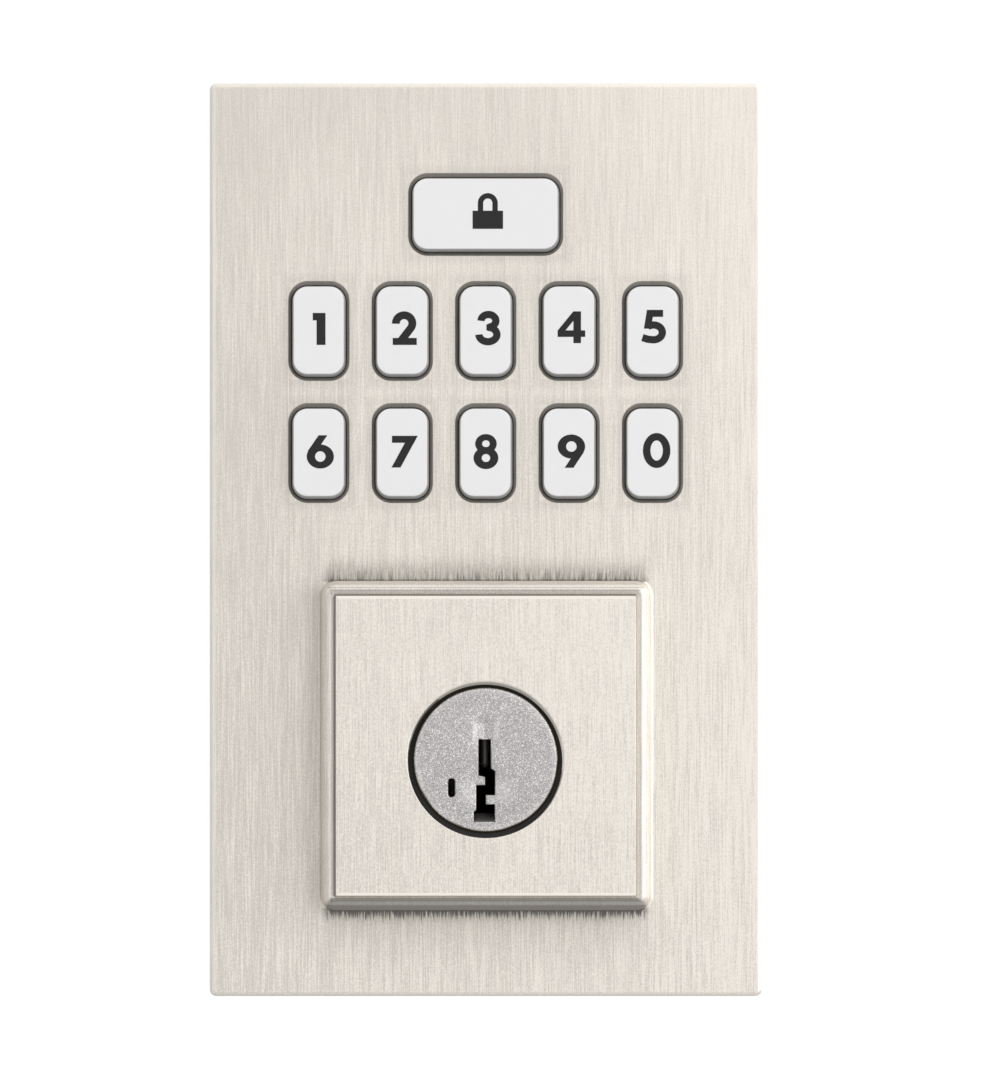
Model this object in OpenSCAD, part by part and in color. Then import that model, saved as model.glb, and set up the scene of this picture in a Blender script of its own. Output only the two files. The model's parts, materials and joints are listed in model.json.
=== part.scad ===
// Outside unit of a keypad door lock: a cast cover with eleven keys and a pin cylinder.
// Origin: on the cylinder's axis at the face of the door. The front faces -Y and +Z is up.

/* [Cover] */
// Width of the cover
plate_w = 74.4; // [60:0.2:92]
// Height of the cover
plate_h = 123; // [102:0.5:150]
// Height of the cylinder's axis above the cover's bottom edge
axis_height = 31.95; // [29:0.05:36]
// Depth of the cover from the door to its flat front
body_depth = 16.5; // [13.7:0.1:22]
// Thickness of the cover's walls
wall = 2.2; // [1.6:0.1:2.6]
// Bevel along the front's edges
edge_bevel = 0.6; // [0.3:0.1:1]

/* [Square housing] */
// Width and height of the raised square
housing_w = 44.3; // [36:0.1:54]
// How far the square's face stands in front of the flat front
housing_rise = 8.5; // [6:0.1:10]
// How far the square's centre lies above the cylinder's axis
housing_lift = 1.85; // [0:0.05:2.5]
// Width of the moulded edge round the square's face
moulding_w = 2; // [1.2:0.1:3]

/* [Keys] */
// Travel of a key
key_travel = 1; // [0.6:0.1:1.1]
// How far the caps stand in front of the cover
key_proud = 1.2; // [0.6:0.1:2]
// Space between key openings
key_gap = 3; // [2.4:0.1:3.4]
// Distance from the cover's side to the first opening's cell
side_margin = 9.1; // [8.6:0.1:10]
// Distance from the cover's top to the lock key's opening
top_margin = 12.1; // [9:0.1:14]
// Distance from the square housing to the lowest keys
bottom_margin = 10.5; // [9.5:0.1:12]
// Gap round a cap in its opening
cap_clearance = 0.3; // [0.2:0.05:0.4]
// Slope of a cap's sides, as an inset at its face
cap_draft = 0.42; // [0.1:0.02:0.6]
// Corner radius of the openings
opening_r = 2.6; // [1:0.1:3]

/* [Cylinder] */
// Diameter of the plug's body
plug_d = 18.2; // [18:0.1:19.4]
// Diameter of the plug's face
plug_face_d = 19.3; // [19.2:0.1:20]
// Length of the plug behind its face
plug_length = 29.7; // [28.5:0.1:36]
// Outside diameter of the shell
shell_d = 25.4; // [24.6:0.1:26.4]
// Running clearance between plug and shell, on the radius
plug_clearance = 0.05; // [0.02:0.01:0.1]
// Distance between neighbouring pins
pin_pitch = 3.81; // [3.6:0.01:4]
// Travel of a pin
pin_travel = 2; // [1:0.1:2.2]
// Length of the torque blade behind the door's face
blade_reach = 56; // [40:1:80]

/* [Mounting] */
// Distance between the two through bolts
bolt_spacing = 35; // [34.6:0.1:38]
// Diameter of the tapped holes before the thread is cut
bolt_hole_d = 4.2; // [3.3:0.1:5]
// Thickness of the back plate
rear_plate_t = 1.8; // [1.2:0.1:2.2]
// Thickness of the gasket
gasket_t = 1; // [0.5:0.1:2]
// Diameter of the cable's way out
cable_d = 8; // [6:0.1:8.4]

/* [Hidden] */
$fn = 64;
eps = 0.01;
side_of = [-1, 1];

// Depths, counted along Y from the door
plate_front = -body_depth;
wall_back = plate_front + wall;
rim_y = -gasket_t;
rear_plate_front = rim_y - rear_plate_t;
housing_face = plate_front - housing_rise;
face_wall = 2;

// Cover outline
plate_top = plate_h - axis_height;
plate_bottom = -axis_height;
inner_half = plate_w / 2 - wall;
corner_boss_r = 3;
corner_boss_x = inner_half - corner_boss_r - 0.5;
corner_boss_z = [plate_bottom + wall + corner_boss_r + 0.5, plate_top - wall - corner_boss_r - 0.5];
housing_top = housing_lift + housing_w / 2;
face_w = housing_w - 2 * moulding_w;
face_hole_r = plug_face_d / 2 + 0.7;

// Keypad: five columns and two rows of number keys under one wide key
columns = 5;
row_gap = key_gap;
lock_gap = key_gap + 0.4;
column_pitch = (plate_w - 2 * side_margin) / columns;
opening_w = column_pitch - key_gap;
free_h = plate_top - housing_top - top_margin - bottom_margin - row_gap - lock_gap;
lock_share = 0.293;
opening_h = free_h * (1 - lock_share) / 2;
lock_h = free_h * lock_share;
lock_w = 2 * column_pitch - 1.6;
row_2_z = housing_top + bottom_margin + opening_h / 2;
row_1_z = row_2_z + opening_h + row_gap;
lock_z = row_1_z + opening_h / 2 + lock_gap + lock_h / 2;
flange_lip = 0.7;
flange_t = 1.2;
cap_wall = 1;
cap_front = plate_front - key_proud;
flange_back = wall_back + flange_t;

// Keypad stack behind the caps
web_front = flange_back + key_travel + 0.1;
web_t = 1.1;
mat_gap = 0.2;
dome_top = web_front + web_t + mat_gap + 0.1;
board_front = dome_top + 2.6;
board_t = 1.6;
board_back = board_front + board_t;
mat_t = 0.9;
mat_front = board_front - mat_t;
dome_r = 0.36 * min(opening_w, lock_h);
plunger_r = 0.66 * dome_r;
plunger_back = dome_top - 0.1;
bay = rear_plate_front - board_back;

// Board outline and its screws
board_boss_r = 2.5;
board_boss_x = 1.5 * column_pitch;
board_boss_z = [row_2_z - opening_h / 2 - flange_lip - board_boss_r - 0.6, lock_z];
board_half = 2 * column_pitch + opening_w / 2 + flange_lip + 1.6;
board_bottom = board_boss_z[0] - board_boss_r - 1.4;
board_top = lock_z + lock_h / 2 + flange_lip + 1.6;
board_screw_r = 1.1;
pilot_depth = 5;

// Cylinder
plug_r = plug_d / 2;
bore_r = plug_r + plug_clearance;
shell_r = shell_d / 2;
plug_front = housing_face + 0.3;
seal_front = housing_face + face_wall;
seal_t = 0.8;
shell_front = seal_front + seal_t;
plug_back = plug_front + plug_length;
shell_back = plug_back - 2;
plug_flange_t = shell_front - plug_front - 0.2;
ear_z = shell_r + 3.8;
ear_r = 4;
ear_t = 2;
ear_screw_r = 1.45;
clip_t = 0.8;
clip_groove_r = 6.2;
tail_r = 7;

// Pins, counted from the front
pins = 5;
first_pin_y = plug_front + 6.3;
pin_x = -0.13;
pin_r = 1.4;
pin_ledge_z = 2.71;
pin_body_z = pin_ledge_z + 0.04;
pin_body_h = 2.5;
pin_tip_r = 0.58;
pin_tip_z = -1.1;
spring_base_z = pin_body_z + pin_body_h;
cover_r = plug_r - 0.55;
spring_top_z = cover_r - 0.12;
keyway_back = plug_front + 24.2;
rack_x = [-3.45, -2.15];
rack_z = [-2.6, 4.6];
rack_half_y = 1.45;
tooth_z = [3.4, 4.4];
sidebar_x = [-(plug_r - 0.2), -3.8];
sidebar_y = [first_pin_y - 3.2, first_pin_y + (pins - 1) * pin_pitch + 3.2];
sidebar_half = 0.75;
sidebar_tab_x = -6.4;
sidebar_tab = 1.5;
slot_margin = 0.1;

// Torque blade
blade_h = 7;
blade_t = 2.2;
blade_front = keyway_back + 1.5;

// Back
post_r = 4.3;
post_depth = body_depth + 1.5;
cable_r = cable_d / 2;
grommet_r = cable_r + 1.4;
grommet_flange_r = grommet_r + 0.9;
cable_z = shell_r + 2.2 + grommet_r;
door_bore_r = 27;
gasket_inset = 0.5;
gasket_band = 6.5;
screw_head_r = 2.9;
screw_shank_r = 1.45;

silver = [0.84, 0.82, 0.79];
steel = [0.7, 0.7, 0.72];
brass = [0.78, 0.66, 0.36];
white = [0.93, 0.93, 0.92];
rubber_grey = [0.25, 0.25, 0.26];
black = [0.08, 0.08, 0.08];

// ---------- shared shapes ----------

// Fills a flat X-Z outline from y_front back to y_back
module slab(y_front, y_back) {
    translate([0, y_back, 0])
        rotate([90, 0, 0])
            linear_extrude(height = y_back - y_front)
                children();
}

// Round bar along Y, r at the front and r_back at the back
module rod(y_front, y_back, r, r_back = undef) {
    translate([0, y_back, 0])
        rotate([90, 0, 0])
            cylinder(h = y_back - y_front, r1 = is_undef(r_back) ? r : r_back, r2 = r);
}

// Puts its children at a point of the front
module at(x, z) {
    translate([x, 0, z])
        children();
}

// Box between two corners
module block(low, high) {
    translate(low)
        cube(high - low);
}

// Flat rectangle with round corners, centred
module rounded_rect(w, h, r) {
    corner = min(r, w / 2 - eps, h / 2 - eps);
    union() {
        square([w - 2 * corner, h], center = true);
        square([w, h - 2 * corner], center = true);
        for (x = side_of)
            for (y = side_of)
                translate([x * (w / 2 - corner), y * (h / 2 - corner)])
                    circle(r = corner);
    }
}

// Flat rectangle between two corners
module plain_rect(x_half, z_low, z_high) {
    translate([-x_half, z_low])
        square([2 * x_half, z_high - z_low]);
}

// Round wire wound along Z from z = 0 to height
module coil(r, wire_r, turns, height) {
    turn_steps = 14;
    sides = 6;
    steps = turns * turn_steps;
    rise = (height - 2 * wire_r) / steps;
    points = [
        for (i = [0:steps])
            for (j = [0:sides - 1])
                let (a = 360 * i / turn_steps, b = 360 * j / sides, out = r + wire_r * cos(b))
                    [out * cos(a), out * sin(a), wire_r + i * rise + wire_r * sin(b)]
    ];
    side_faces = [
        for (i = [0:steps - 1])
            for (j = [0:sides - 1])
                let (a = i * sides + j, b = i * sides + (j + 1) % sides)
                    each [[a, a + sides, b], [b, a + sides, b + sides]]
    ];
    start = [for (j = [0:sides - 1]) j];
    end = [for (j = [sides - 1:-1:0]) steps * sides + j];
    polyhedron(points = points, faces = concat(side_faces, [start, end]));
}

// Pan-head screw driven from the back: its head ends at y_seat + head_h
module pan_screw(y_seat, shank_r, shank_l, head_r, head_h) {
    difference() {
        union() {
            rod(y_seat - shank_l, y_seat + eps, shank_r);
            rod(y_seat, y_seat + head_h, head_r, head_r * 0.85);
        }
        slab(y_seat + head_h * 0.5, y_seat + head_h + 1)
            square([head_r * 1.2, head_r * 0.24], center = true);
        slab(y_seat + head_h * 0.5, y_seat + head_h + 1)
            square([head_r * 0.24, head_r * 1.2], center = true);
    }
}

// ---------- keypad layout ----------

// Column 0 to 4 of row 1 or 2
function key_x(column) = (column - (columns - 1) / 2) * column_pitch;
function key_z(row) = row == 1 ? row_1_z : row_2_z;

// Children once at every key's centre
module at_keys() {
    for (row = [1, 2])
        for (column = [0:columns - 1])
            at(key_x(column), key_z(row))
                children();
    at(0, lock_z)
        children();
}

module at_board_screws() {
    for (x = side_of)
        for (z = board_boss_z)
            at(x * board_boss_x, z)
                children();
}

module at_corner_screws() {
    for (x = side_of)
        for (z = corner_boss_z)
            at(x * corner_boss_x, z)
                children();
}

// Lights stand between the columns of each row and at the lock key's ends
module at_lights() {
    for (z = [row_1_z, row_2_z])
        for (gap = [0:columns - 2])
            at(key_x(gap) + column_pitch / 2, z)
                children();
    for (x = side_of)
        at(x * column_pitch / 2, lock_z)
            children();
}

module board_outline() {
    plain_rect(board_half, board_bottom, board_top);
}

// ---------- cover ----------

// Slab with its front edges bevelled
module cover_block() {
    cutter = edge_bevel * sqrt(2);
    difference() {
        slab(plate_front, rim_y)
            plain_rect(plate_w / 2, plate_bottom, plate_top);
        for (x = side_of)
            translate([x * plate_w / 2, plate_front, (plate_top + plate_bottom) / 2])
                rotate([0, 0, 45])
                    cube([cutter, cutter, plate_h + 2], center = true);
        for (z = [plate_bottom, plate_top])
            translate([0, plate_front, z])
                rotate([45, 0, 0])
                    cube([plate_w + 2, cutter, cutter], center = true);
    }
}

// Raised square: body, soft shoulder, groove and crisp face
module housing_block() {
    shoulder_w = housing_w - 1.2;
    shoulder_front = housing_face + 1.1;
    body_front = shoulder_front + 0.9;
    groove_w = face_w + 1;
    at(0, housing_lift) {
        slab(body_front, wall_back)
            rounded_rect(housing_w, housing_w, 2);
        difference() {
            slab(shoulder_front, body_front + eps)
                rounded_rect(shoulder_w, shoulder_w, 1.5);
            slab(shoulder_front - 1, shoulder_front + 0.7)
                square(groove_w, center = true);
        }
        slab(housing_face, body_front + eps)
            rounded_rect(face_w, face_w, 0.5);
    }
}

module key_openings() {
    slab(plate_front - 1, wall_back + eps) {
        for (row = [1, 2])
            for (column = [0:columns - 1])
                translate([key_x(column), key_z(row)])
                    rounded_rect(opening_w, opening_h, opening_r);
        translate([0, lock_z])
            rounded_rect(lock_w, lock_h, opening_r);
    }
}

module front_cover() {
    color(silver)
        difference() {
            union() {
                difference() {
                    cover_block();
                    slab(wall_back, 1)
                        plain_rect(inner_half, plate_bottom + wall, plate_top - wall);
                }
                housing_block();
                for (x = side_of)
                    at(x * bolt_spacing / 2, 0)
                        rod(wall_back - eps, 0, post_r);
                at_board_screws()
                    rod(wall_back - eps, board_front, board_boss_r);
                at_corner_screws()
                    rod(wall_back - eps, rear_plate_front, corner_boss_r);
            }
            key_openings();
            rod(housing_face - 1, seal_front + eps, face_hole_r);
            rod(housing_face - 0.1, housing_face + 0.5, face_hole_r + 0.4, face_hole_r - 0.2);
            rod(seal_front, wall_back + 5, shell_r + 0.3);
            for (x = side_of)
                at(x * bolt_spacing / 2, 0)
                    rod(-post_depth, 1, bolt_hole_d / 2);
            for (z = side_of)
                at(0, z * ear_z)
                    rod(wall_back - 6, wall_back + 1, ear_screw_r + 0.05);
            at_board_screws()
                rod(board_front - pilot_depth, board_front + 1, board_screw_r + 0.05);
            at_corner_screws()
                rod(rear_plate_front - 8, rear_plate_front + 1, screw_shank_r + 0.05);
        }
}

// ---------- keys ----------

// Hollow cap with a lip behind the cover and a plunger over its dome
module key_cap(w, h) {
    base_w = w - 2 * cap_clearance;
    base_h = h - 2 * cap_clearance;
    corner = opening_r - cap_clearance;
    draft_back = plate_front + 0.2;
    hollow_w = base_w - 2 * cap_draft - 2 * cap_wall;
    hollow_h = base_h - 2 * cap_draft - 2 * cap_wall;
    color(white) {
        difference() {
            union() {
                hull() {
                    slab(cap_front, cap_front + eps)
                        rounded_rect(base_w - 2 * cap_draft, base_h - 2 * cap_draft, corner - cap_draft, $fn = 32);
                    slab(draft_back, flange_back - 0.3)
                        rounded_rect(base_w, base_h, corner, $fn = 32);
                }
                slab(wall_back, flange_back)
                    rounded_rect(w + 2 * flange_lip, h + 2 * flange_lip, corner + 1);
            }
            slab(cap_front + cap_wall, flange_back + 1)
                rounded_rect(hollow_w, hollow_h, 1);
        }
        rod(cap_front + cap_wall - eps, plunger_back, plunger_r);
    }
}

module number_key(column, row) {
    at(key_x(column), key_z(row))
        key_cap(opening_w, opening_h);
}

module key_1() {
    number_key(0, 1);
}

module key_2() {
    number_key(1, 1);
}

module key_3() {
    number_key(2, 1);
}

module key_4() {
    number_key(3, 1);
}

module key_5() {
    number_key(4, 1);
}

module key_6() {
    number_key(0, 2);
}

module key_7() {
    number_key(1, 2);
}

module key_8() {
    number_key(2, 2);
}

module key_9() {
    number_key(3, 2);
}

module key_0() {
    number_key(4, 2);
}

module key_lock() {
    at(0, lock_z)
        key_cap(lock_w, lock_h);
}

// ---------- keypad stack ----------

// Tray: a rim against the cover, and a web with a hole for each plunger
module key_guide() {
    rim = 1.2;
    color(white)
        difference() {
            slab(wall_back, mat_front)
                board_outline();
            slab(wall_back - 1, web_front)
                plain_rect(board_half - rim, board_bottom + rim, board_top - rim);
            slab(web_front + web_t, mat_front + 1)
                plain_rect(board_half - rim, board_bottom + rim, board_top - rim);
            at_keys()
                rod(web_front - 1, web_front + web_t + 1, plunger_r + 0.3);
            at_board_screws()
                rod(wall_back - 1, mat_front + 1, board_boss_r + 0.25);
        }
}

// Hollow dome with a nub inside it
module mat_dome() {
    skin = 0.5;
    cavity_front = dome_top + 0.7;
    difference() {
        rod(dome_top, mat_front + eps, 0.74 * dome_r, dome_r);
        rod(cavity_front, mat_front + 2 * eps, 0.74 * dome_r - skin, dome_r - skin);
    }
    rod(cavity_front - eps, board_front - 0.5, 0.27 * dome_r);
}

module keypad_mat() {
    light_window = [2.6, 1.6];
    color(rubber_grey) {
        difference() {
            slab(mat_front, board_front)
                board_outline();
            at_keys()
                rod(mat_front - 1, board_front + 1, dome_r - 0.5);
            at_lights()
                slab(mat_front - 1, board_front + 1)
                    square(light_window, center = true);
            at_board_screws()
                rod(mat_front - 1, board_front + 1, board_boss_r + 0.25);
        }
        at_keys()
            mat_dome();
    }
}

module snap_domes() {
    color(steel)
        at_keys()
            difference() {
                rod(board_front - 0.35, board_front, 0.4 * dome_r, 0.7 * dome_r);
                rod(board_front - 0.2, board_front + eps, 0.35 * dome_r, 0.62 * dome_r);
            }
}

module circuit_board() {
    color([0.06, 0.3, 0.16])
        difference() {
            slab(board_front, board_back)
                board_outline();
            at_board_screws()
                rod(board_front - 1, board_back + 1, board_screw_r + 0.15);
        }
}

module backlight_leds() {
    color([0.95, 0.93, 0.8])
        at_lights()
            slab(board_front - 0.6, board_front)
                square([1.6, 0.8], center = true);
}

module controller_chip() {
    chip_w = 9;
    color(black)
        at(-column_pitch, row_2_z + opening_h / 2)
            slab(board_back, board_back + min(1.1, 0.4 * bay))
                square(chip_w, center = true);
}

module beeper() {
    color(black)
        at(column_pitch, row_2_z + opening_h / 2)
            difference() {
                rod(board_back, board_back + 0.75 * bay, 4.5);
                rod(board_back + 0.6 * bay, rear_plate_front, 1);
            }
}

// Socket for the cable: its mouth faces down
module cable_socket() {
    socket_w = 12;
    socket_l = 6;
    socket_front = board_back;
    socket_back = board_back + 0.85 * bay;
    skin = 0.14 * (socket_back - socket_front);
    over_grommet = cable_z + grommet_flange_r + 0.5;
    z_low = max(board_boss_z[0] - 2, over_grommet);
    color(white)
        difference() {
            block([-socket_w / 2, socket_front, z_low], [socket_w / 2, socket_back, z_low + socket_l]);
            block(
                [-socket_w / 2 + 1, socket_front + skin, z_low - 1],
                [socket_w / 2 - 1, socket_back - skin, z_low + socket_l - 1]
            );
        }
}

module board_screws() {
    color(steel)
        at_board_screws()
            pan_screw(board_back, board_screw_r, board_t + pilot_depth - 0.4, 2.1, min(1.5, 0.45 * bay));
}

// ---------- back ----------

module rear_plate() {
    fit = 0.25;
    color(steel)
        difference() {
            slab(rear_plate_front, rim_y)
                plain_rect(inner_half - fit, plate_bottom + wall + fit, plate_top - wall - fit);
            rod(rear_plate_front - 1, rim_y + 1, shell_r + 0.6);
            for (x = side_of)
                at(x * bolt_spacing / 2, 0)
                    rod(rear_plate_front - 1, rim_y + 1, post_r + 0.3);
            at(0, cable_z)
                rod(rear_plate_front - 1, rim_y + 1, grommet_r + 0.05);
            at_corner_screws() {
                rod(rear_plate_front - 1, rim_y + 1, screw_shank_r + 0.1);
                rod(rim_y - 1.5, rim_y + eps, screw_shank_r + 0.1, screw_head_r + 0.1);
            }
        }
}

module rear_plate_screws() {
    color(steel)
        at_corner_screws()
            difference() {
                union() {
                    rod(rear_plate_front - 7.6, rim_y - 1.4, screw_shank_r);
                    rod(rim_y - 1.5, rim_y, screw_shank_r, screw_head_r);
                }
                slab(rim_y - 0.8, rim_y + 1)
                    square([3.2, 0.7], center = true);
                slab(rim_y - 0.8, rim_y + 1)
                    square([0.7, 3.2], center = true);
            }
}

module cable_grommet() {
    lip = 0.7;
    color(black)
        at(0, cable_z)
            difference() {
                union() {
                    rod(rear_plate_front - lip, rear_plate_front, grommet_flange_r);
                    rod(rear_plate_front - eps, rim_y + eps, grommet_r);
                    rod(rim_y, rim_y + lip, grommet_flange_r);
                }
                rod(rear_plate_front - 2, rim_y + 2, cable_r);
            }
}

module door_gasket() {
    low = plate_bottom + gasket_inset;
    high = plate_top - gasket_inset;
    half = plate_w / 2 - gasket_inset;
    color(black)
        slab(rim_y, 0)
            difference() {
                plain_rect(half, low, high);
                plain_rect(half - gasket_band, low + gasket_band / 2, high - gasket_band);
            }
}

// ---------- cylinder ----------

module cylinder_shell() {
    groove_half = sidebar_half + 0.2;
    color(brass)
        difference() {
            union() {
                rod(shell_front, shell_back, shell_r);
                slab(wall_back, wall_back + ear_t) {
                    square([2 * ear_r, 2 * ear_z], center = true);
                    for (z = side_of)
                        translate([0, z * ear_z])
                            circle(r = ear_r);
                }
            }
            rod(shell_front - 1, shell_back + 1, bore_r);
            for (z = side_of)
                at(0, z * ear_z)
                    rod(wall_back - 1, wall_back + ear_t + 1, ear_screw_r + 0.15);
            block([-bore_r - 1.2, sidebar_y[0], -groove_half], [-bore_r + 1, sidebar_y[1], groove_half]);
        }
}

module cylinder_screws() {
    color(steel)
        for (z = side_of)
            at(0, z * ear_z)
                pan_screw(wall_back + ear_t, ear_screw_r, ear_t + 5.6, 2.8, 1.7);
}

module cylinder_seal() {
    color(black)
        difference() {
            rod(seal_front, shell_front, shell_r - 0.2);
            rod(seal_front - 1, shell_front + 1, plug_face_d / 2 + 0.3);
        }
}

// Cross-section of the keyway, seen from the front
module keyway_outline() {
    top = pin_ledge_z;
    polygon([
        [-0.92, top], [-0.92, -2.1], [-0.07, -2.3], [-0.07, -3.45], [-1.25, -3.45], [-1.25, -6.8],
        [-1.56, -7], [-1.56, -8.3], [1.2, -8.3], [1.2, -6.05], [0, -6.05], [0, -4.75],
        [1.23, -4.75], [1.23, -1.6], [0.66, -1.2], [0.66, top]
    ]);
}

// Children once at each pin's place along the plug
module at_pin(i) {
    translate([0, first_pin_y + i * pin_pitch, 0])
        children();
}

// Hollows of the plug round one pin: its bore, the rack's slot and the tooth's way between them
module pin_hollows() {
    gap = slot_margin;
    translate([pin_x, 0, pin_ledge_z])
        cylinder(h = plug_r, r = pin_r + 0.05);
    block([rack_x[0] - 0.15, -rack_half_y - gap, rack_z[0] - gap], [rack_x[1] + 0.15, rack_half_y + gap, plug_r]);
    block([rack_x[1], -0.5, tooth_z[0] - gap], [pin_x - 1, 0.5, tooth_z[1] + pin_travel + gap]);
}

module spring_cover_space(margin) {
    block(
        [rack_x[0] - 0.3 - margin, first_pin_y - 2 - margin, 4],
        [pin_x + pin_r + 0.8 + margin, first_pin_y + (pins - 1) * pin_pitch + 2 + margin, plug_r + 1]
    );
}

module cylinder_plug() {
    face_bevel = 0.2;
    color(steel)
        difference() {
            union() {
                rod(plug_front, plug_front + face_bevel, plug_face_d / 2 - face_bevel, plug_face_d / 2);
                rod(plug_front + face_bevel, plug_front + plug_flange_t, plug_face_d / 2);
                rod(plug_front + eps, shell_back, plug_r);
                rod(shell_back - eps, plug_back, tail_r);
            }
            slab(plug_front - 1, keyway_back)
                keyway_outline();
            at(-4.59, -3.78)
                slab(plug_front - 1, plug_front + 8)
                    rounded_rect(0.85, 2.45, 0.42);
            for (i = [0:pins - 1])
                at_pin(i)
                    pin_hollows();
            block(
                [-plug_r - 1, sidebar_y[0] - slot_margin, -sidebar_half - slot_margin],
                [rack_x[0], sidebar_y[1] + slot_margin, sidebar_half + slot_margin]
            );
            difference() {
                spring_cover_space(slot_margin);
                rod(plug_front, shell_back, cover_r);
            }
            difference() {
                rod(shell_back + 0.1, shell_back + 0.2 + clip_t, tail_r + 1);
                rod(shell_back, shell_back + 1 + clip_t, clip_groove_r);
            }
            slab(blade_front, plug_back + 1)
                square([blade_t + 0.1, blade_h + 0.1], center = true);
        }
}

// Open ring in the groove behind the shell
module plug_clip() {
    clip_r = bore_r + 1.4;
    color(steel)
        difference() {
            rod(shell_back + 0.1, shell_back + 0.1 + clip_t, clip_r);
            rod(shell_back, shell_back + 1 + clip_t, clip_groove_r + 0.05);
            block([-4, shell_back, -clip_r - 1], [4, shell_back + 2, 0]);
        }
}

module torque_blade() {
    color(steel)
        block([-blade_t / 2, blade_front + 0.1, -blade_h / 2], [blade_t / 2, blade_reach, blade_h / 2]);
}

module pin(i) {
    color(brass)
        at_pin(i)
            translate([pin_x, 0, 0]) {
                translate([0, 0, pin_body_z])
                    cylinder(h = pin_body_h, r = pin_r);
                translate([0, 0, pin_tip_z + 0.5])
                    cylinder(h = pin_body_z - pin_tip_z - 0.5 + eps, r = pin_tip_r);
                translate([0, 0, pin_tip_z])
                    cylinder(h = 0.5 + eps, r1 = 0.3, r2 = pin_tip_r);
            }
}

// Flat bar with a tooth towards its pin and a notch for the sidebar
module rack(i) {
    notch_z = [-0.4, -1.2, -0.8, -1.6, -0.6][i];
    color(steel)
        at_pin(i)
            difference() {
                union() {
                    block([rack_x[0], -rack_half_y, rack_z[0]], [rack_x[1], rack_half_y, rack_z[1]]);
                    block([rack_x[1] - eps, -0.4, tooth_z[0]], [pin_x - pin_r - 0.03, 0.4, tooth_z[1]]);
                }
                translate([rack_x[0], 0, notch_z])
                    rotate([0, 45, 0])
                        cube([0.7, 4, 0.7], center = true);
            }
}

module pin_spring(i) {
    wire_r = 0.13;
    color(steel)
        at_pin(i)
            translate([pin_x, 0, spring_base_z])
                coil(pin_r - 0.35, wire_r, 4, spring_top_z - spring_base_z);
}

module pin_1() {
    pin(0);
}

module pin_2() {
    pin(1);
}

module pin_3() {
    pin(2);
}

module pin_4() {
    pin(3);
}

module pin_5() {
    pin(4);
}

module rack_1() {
    rack(0);
}

module rack_2() {
    rack(1);
}

module rack_3() {
    rack(2);
}

module rack_4() {
    rack(3);
}

module rack_5() {
    rack(4);
}

module pin_spring_1() {
    pin_spring(0);
}

module pin_spring_2() {
    pin_spring(1);
}

module pin_spring_3() {
    pin_spring(2);
}

module pin_spring_4() {
    pin_spring(3);
}

module pin_spring_5() {
    pin_spring(4);
}

// Curved strip that closes the pins' bores
module spring_cover() {
    color(brass)
        intersection() {
            difference() {
                rod(plug_front, shell_back, plug_r - 0.05);
                rod(plug_front - 1, shell_back + 1, cover_r + 0.02);
            }
            spring_cover_space(0);
        }
}

module sidebar() {
    color(brass)
        difference() {
            block([sidebar_x[0], sidebar_y[0], -sidebar_half], [sidebar_x[1], sidebar_y[1], sidebar_half]);
            block([sidebar_tab_x, sidebar_y[0] - 1, -2], [0, sidebar_y[0] + sidebar_tab, 2]);
            block([sidebar_tab_x, sidebar_y[1] - sidebar_tab, -2], [0, sidebar_y[1] + 1, 2]);
        }
}

module sidebar_springs() {
    spring_r = 0.5;
    wire_r = 0.11;
    color(steel)
        for (y = [sidebar_y[0] + sidebar_tab / 2, sidebar_y[1] - sidebar_tab / 2])
            translate([sidebar_tab_x + 0.02, y, 0])
                rotate([0, 90, 0])
                    coil(spring_r, wire_r, 5, rack_x[0] - sidebar_tab_x - 0.04);
}

// ---------- nodes ----------

front_cover();
key_1();
key_2();
key_3();
key_4();
key_5();
key_6();
key_7();
key_8();
key_9();
key_0();
key_lock();
key_guide();
keypad_mat();
snap_domes();
circuit_board();
backlight_leds();
controller_chip();
beeper();
cable_socket();
board_screws();
rear_plate();
rear_plate_screws();
cable_grommet();
door_gasket();
cylinder_shell();
cylinder_screws();
cylinder_seal();
cylinder_plug();
plug_clip();
torque_blade();
pin_1();
pin_2();
pin_3();
pin_4();
pin_5();
rack_1();
rack_2();
rack_3();
rack_4();
rack_5();
pin_spring_1();
pin_spring_2();
pin_spring_3();
pin_spring_4();
pin_spring_5();
spring_cover();
sidebar();
sidebar_springs();
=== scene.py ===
"""Outside unit of a keypad door lock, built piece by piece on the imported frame."""

import json
import math

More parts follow.
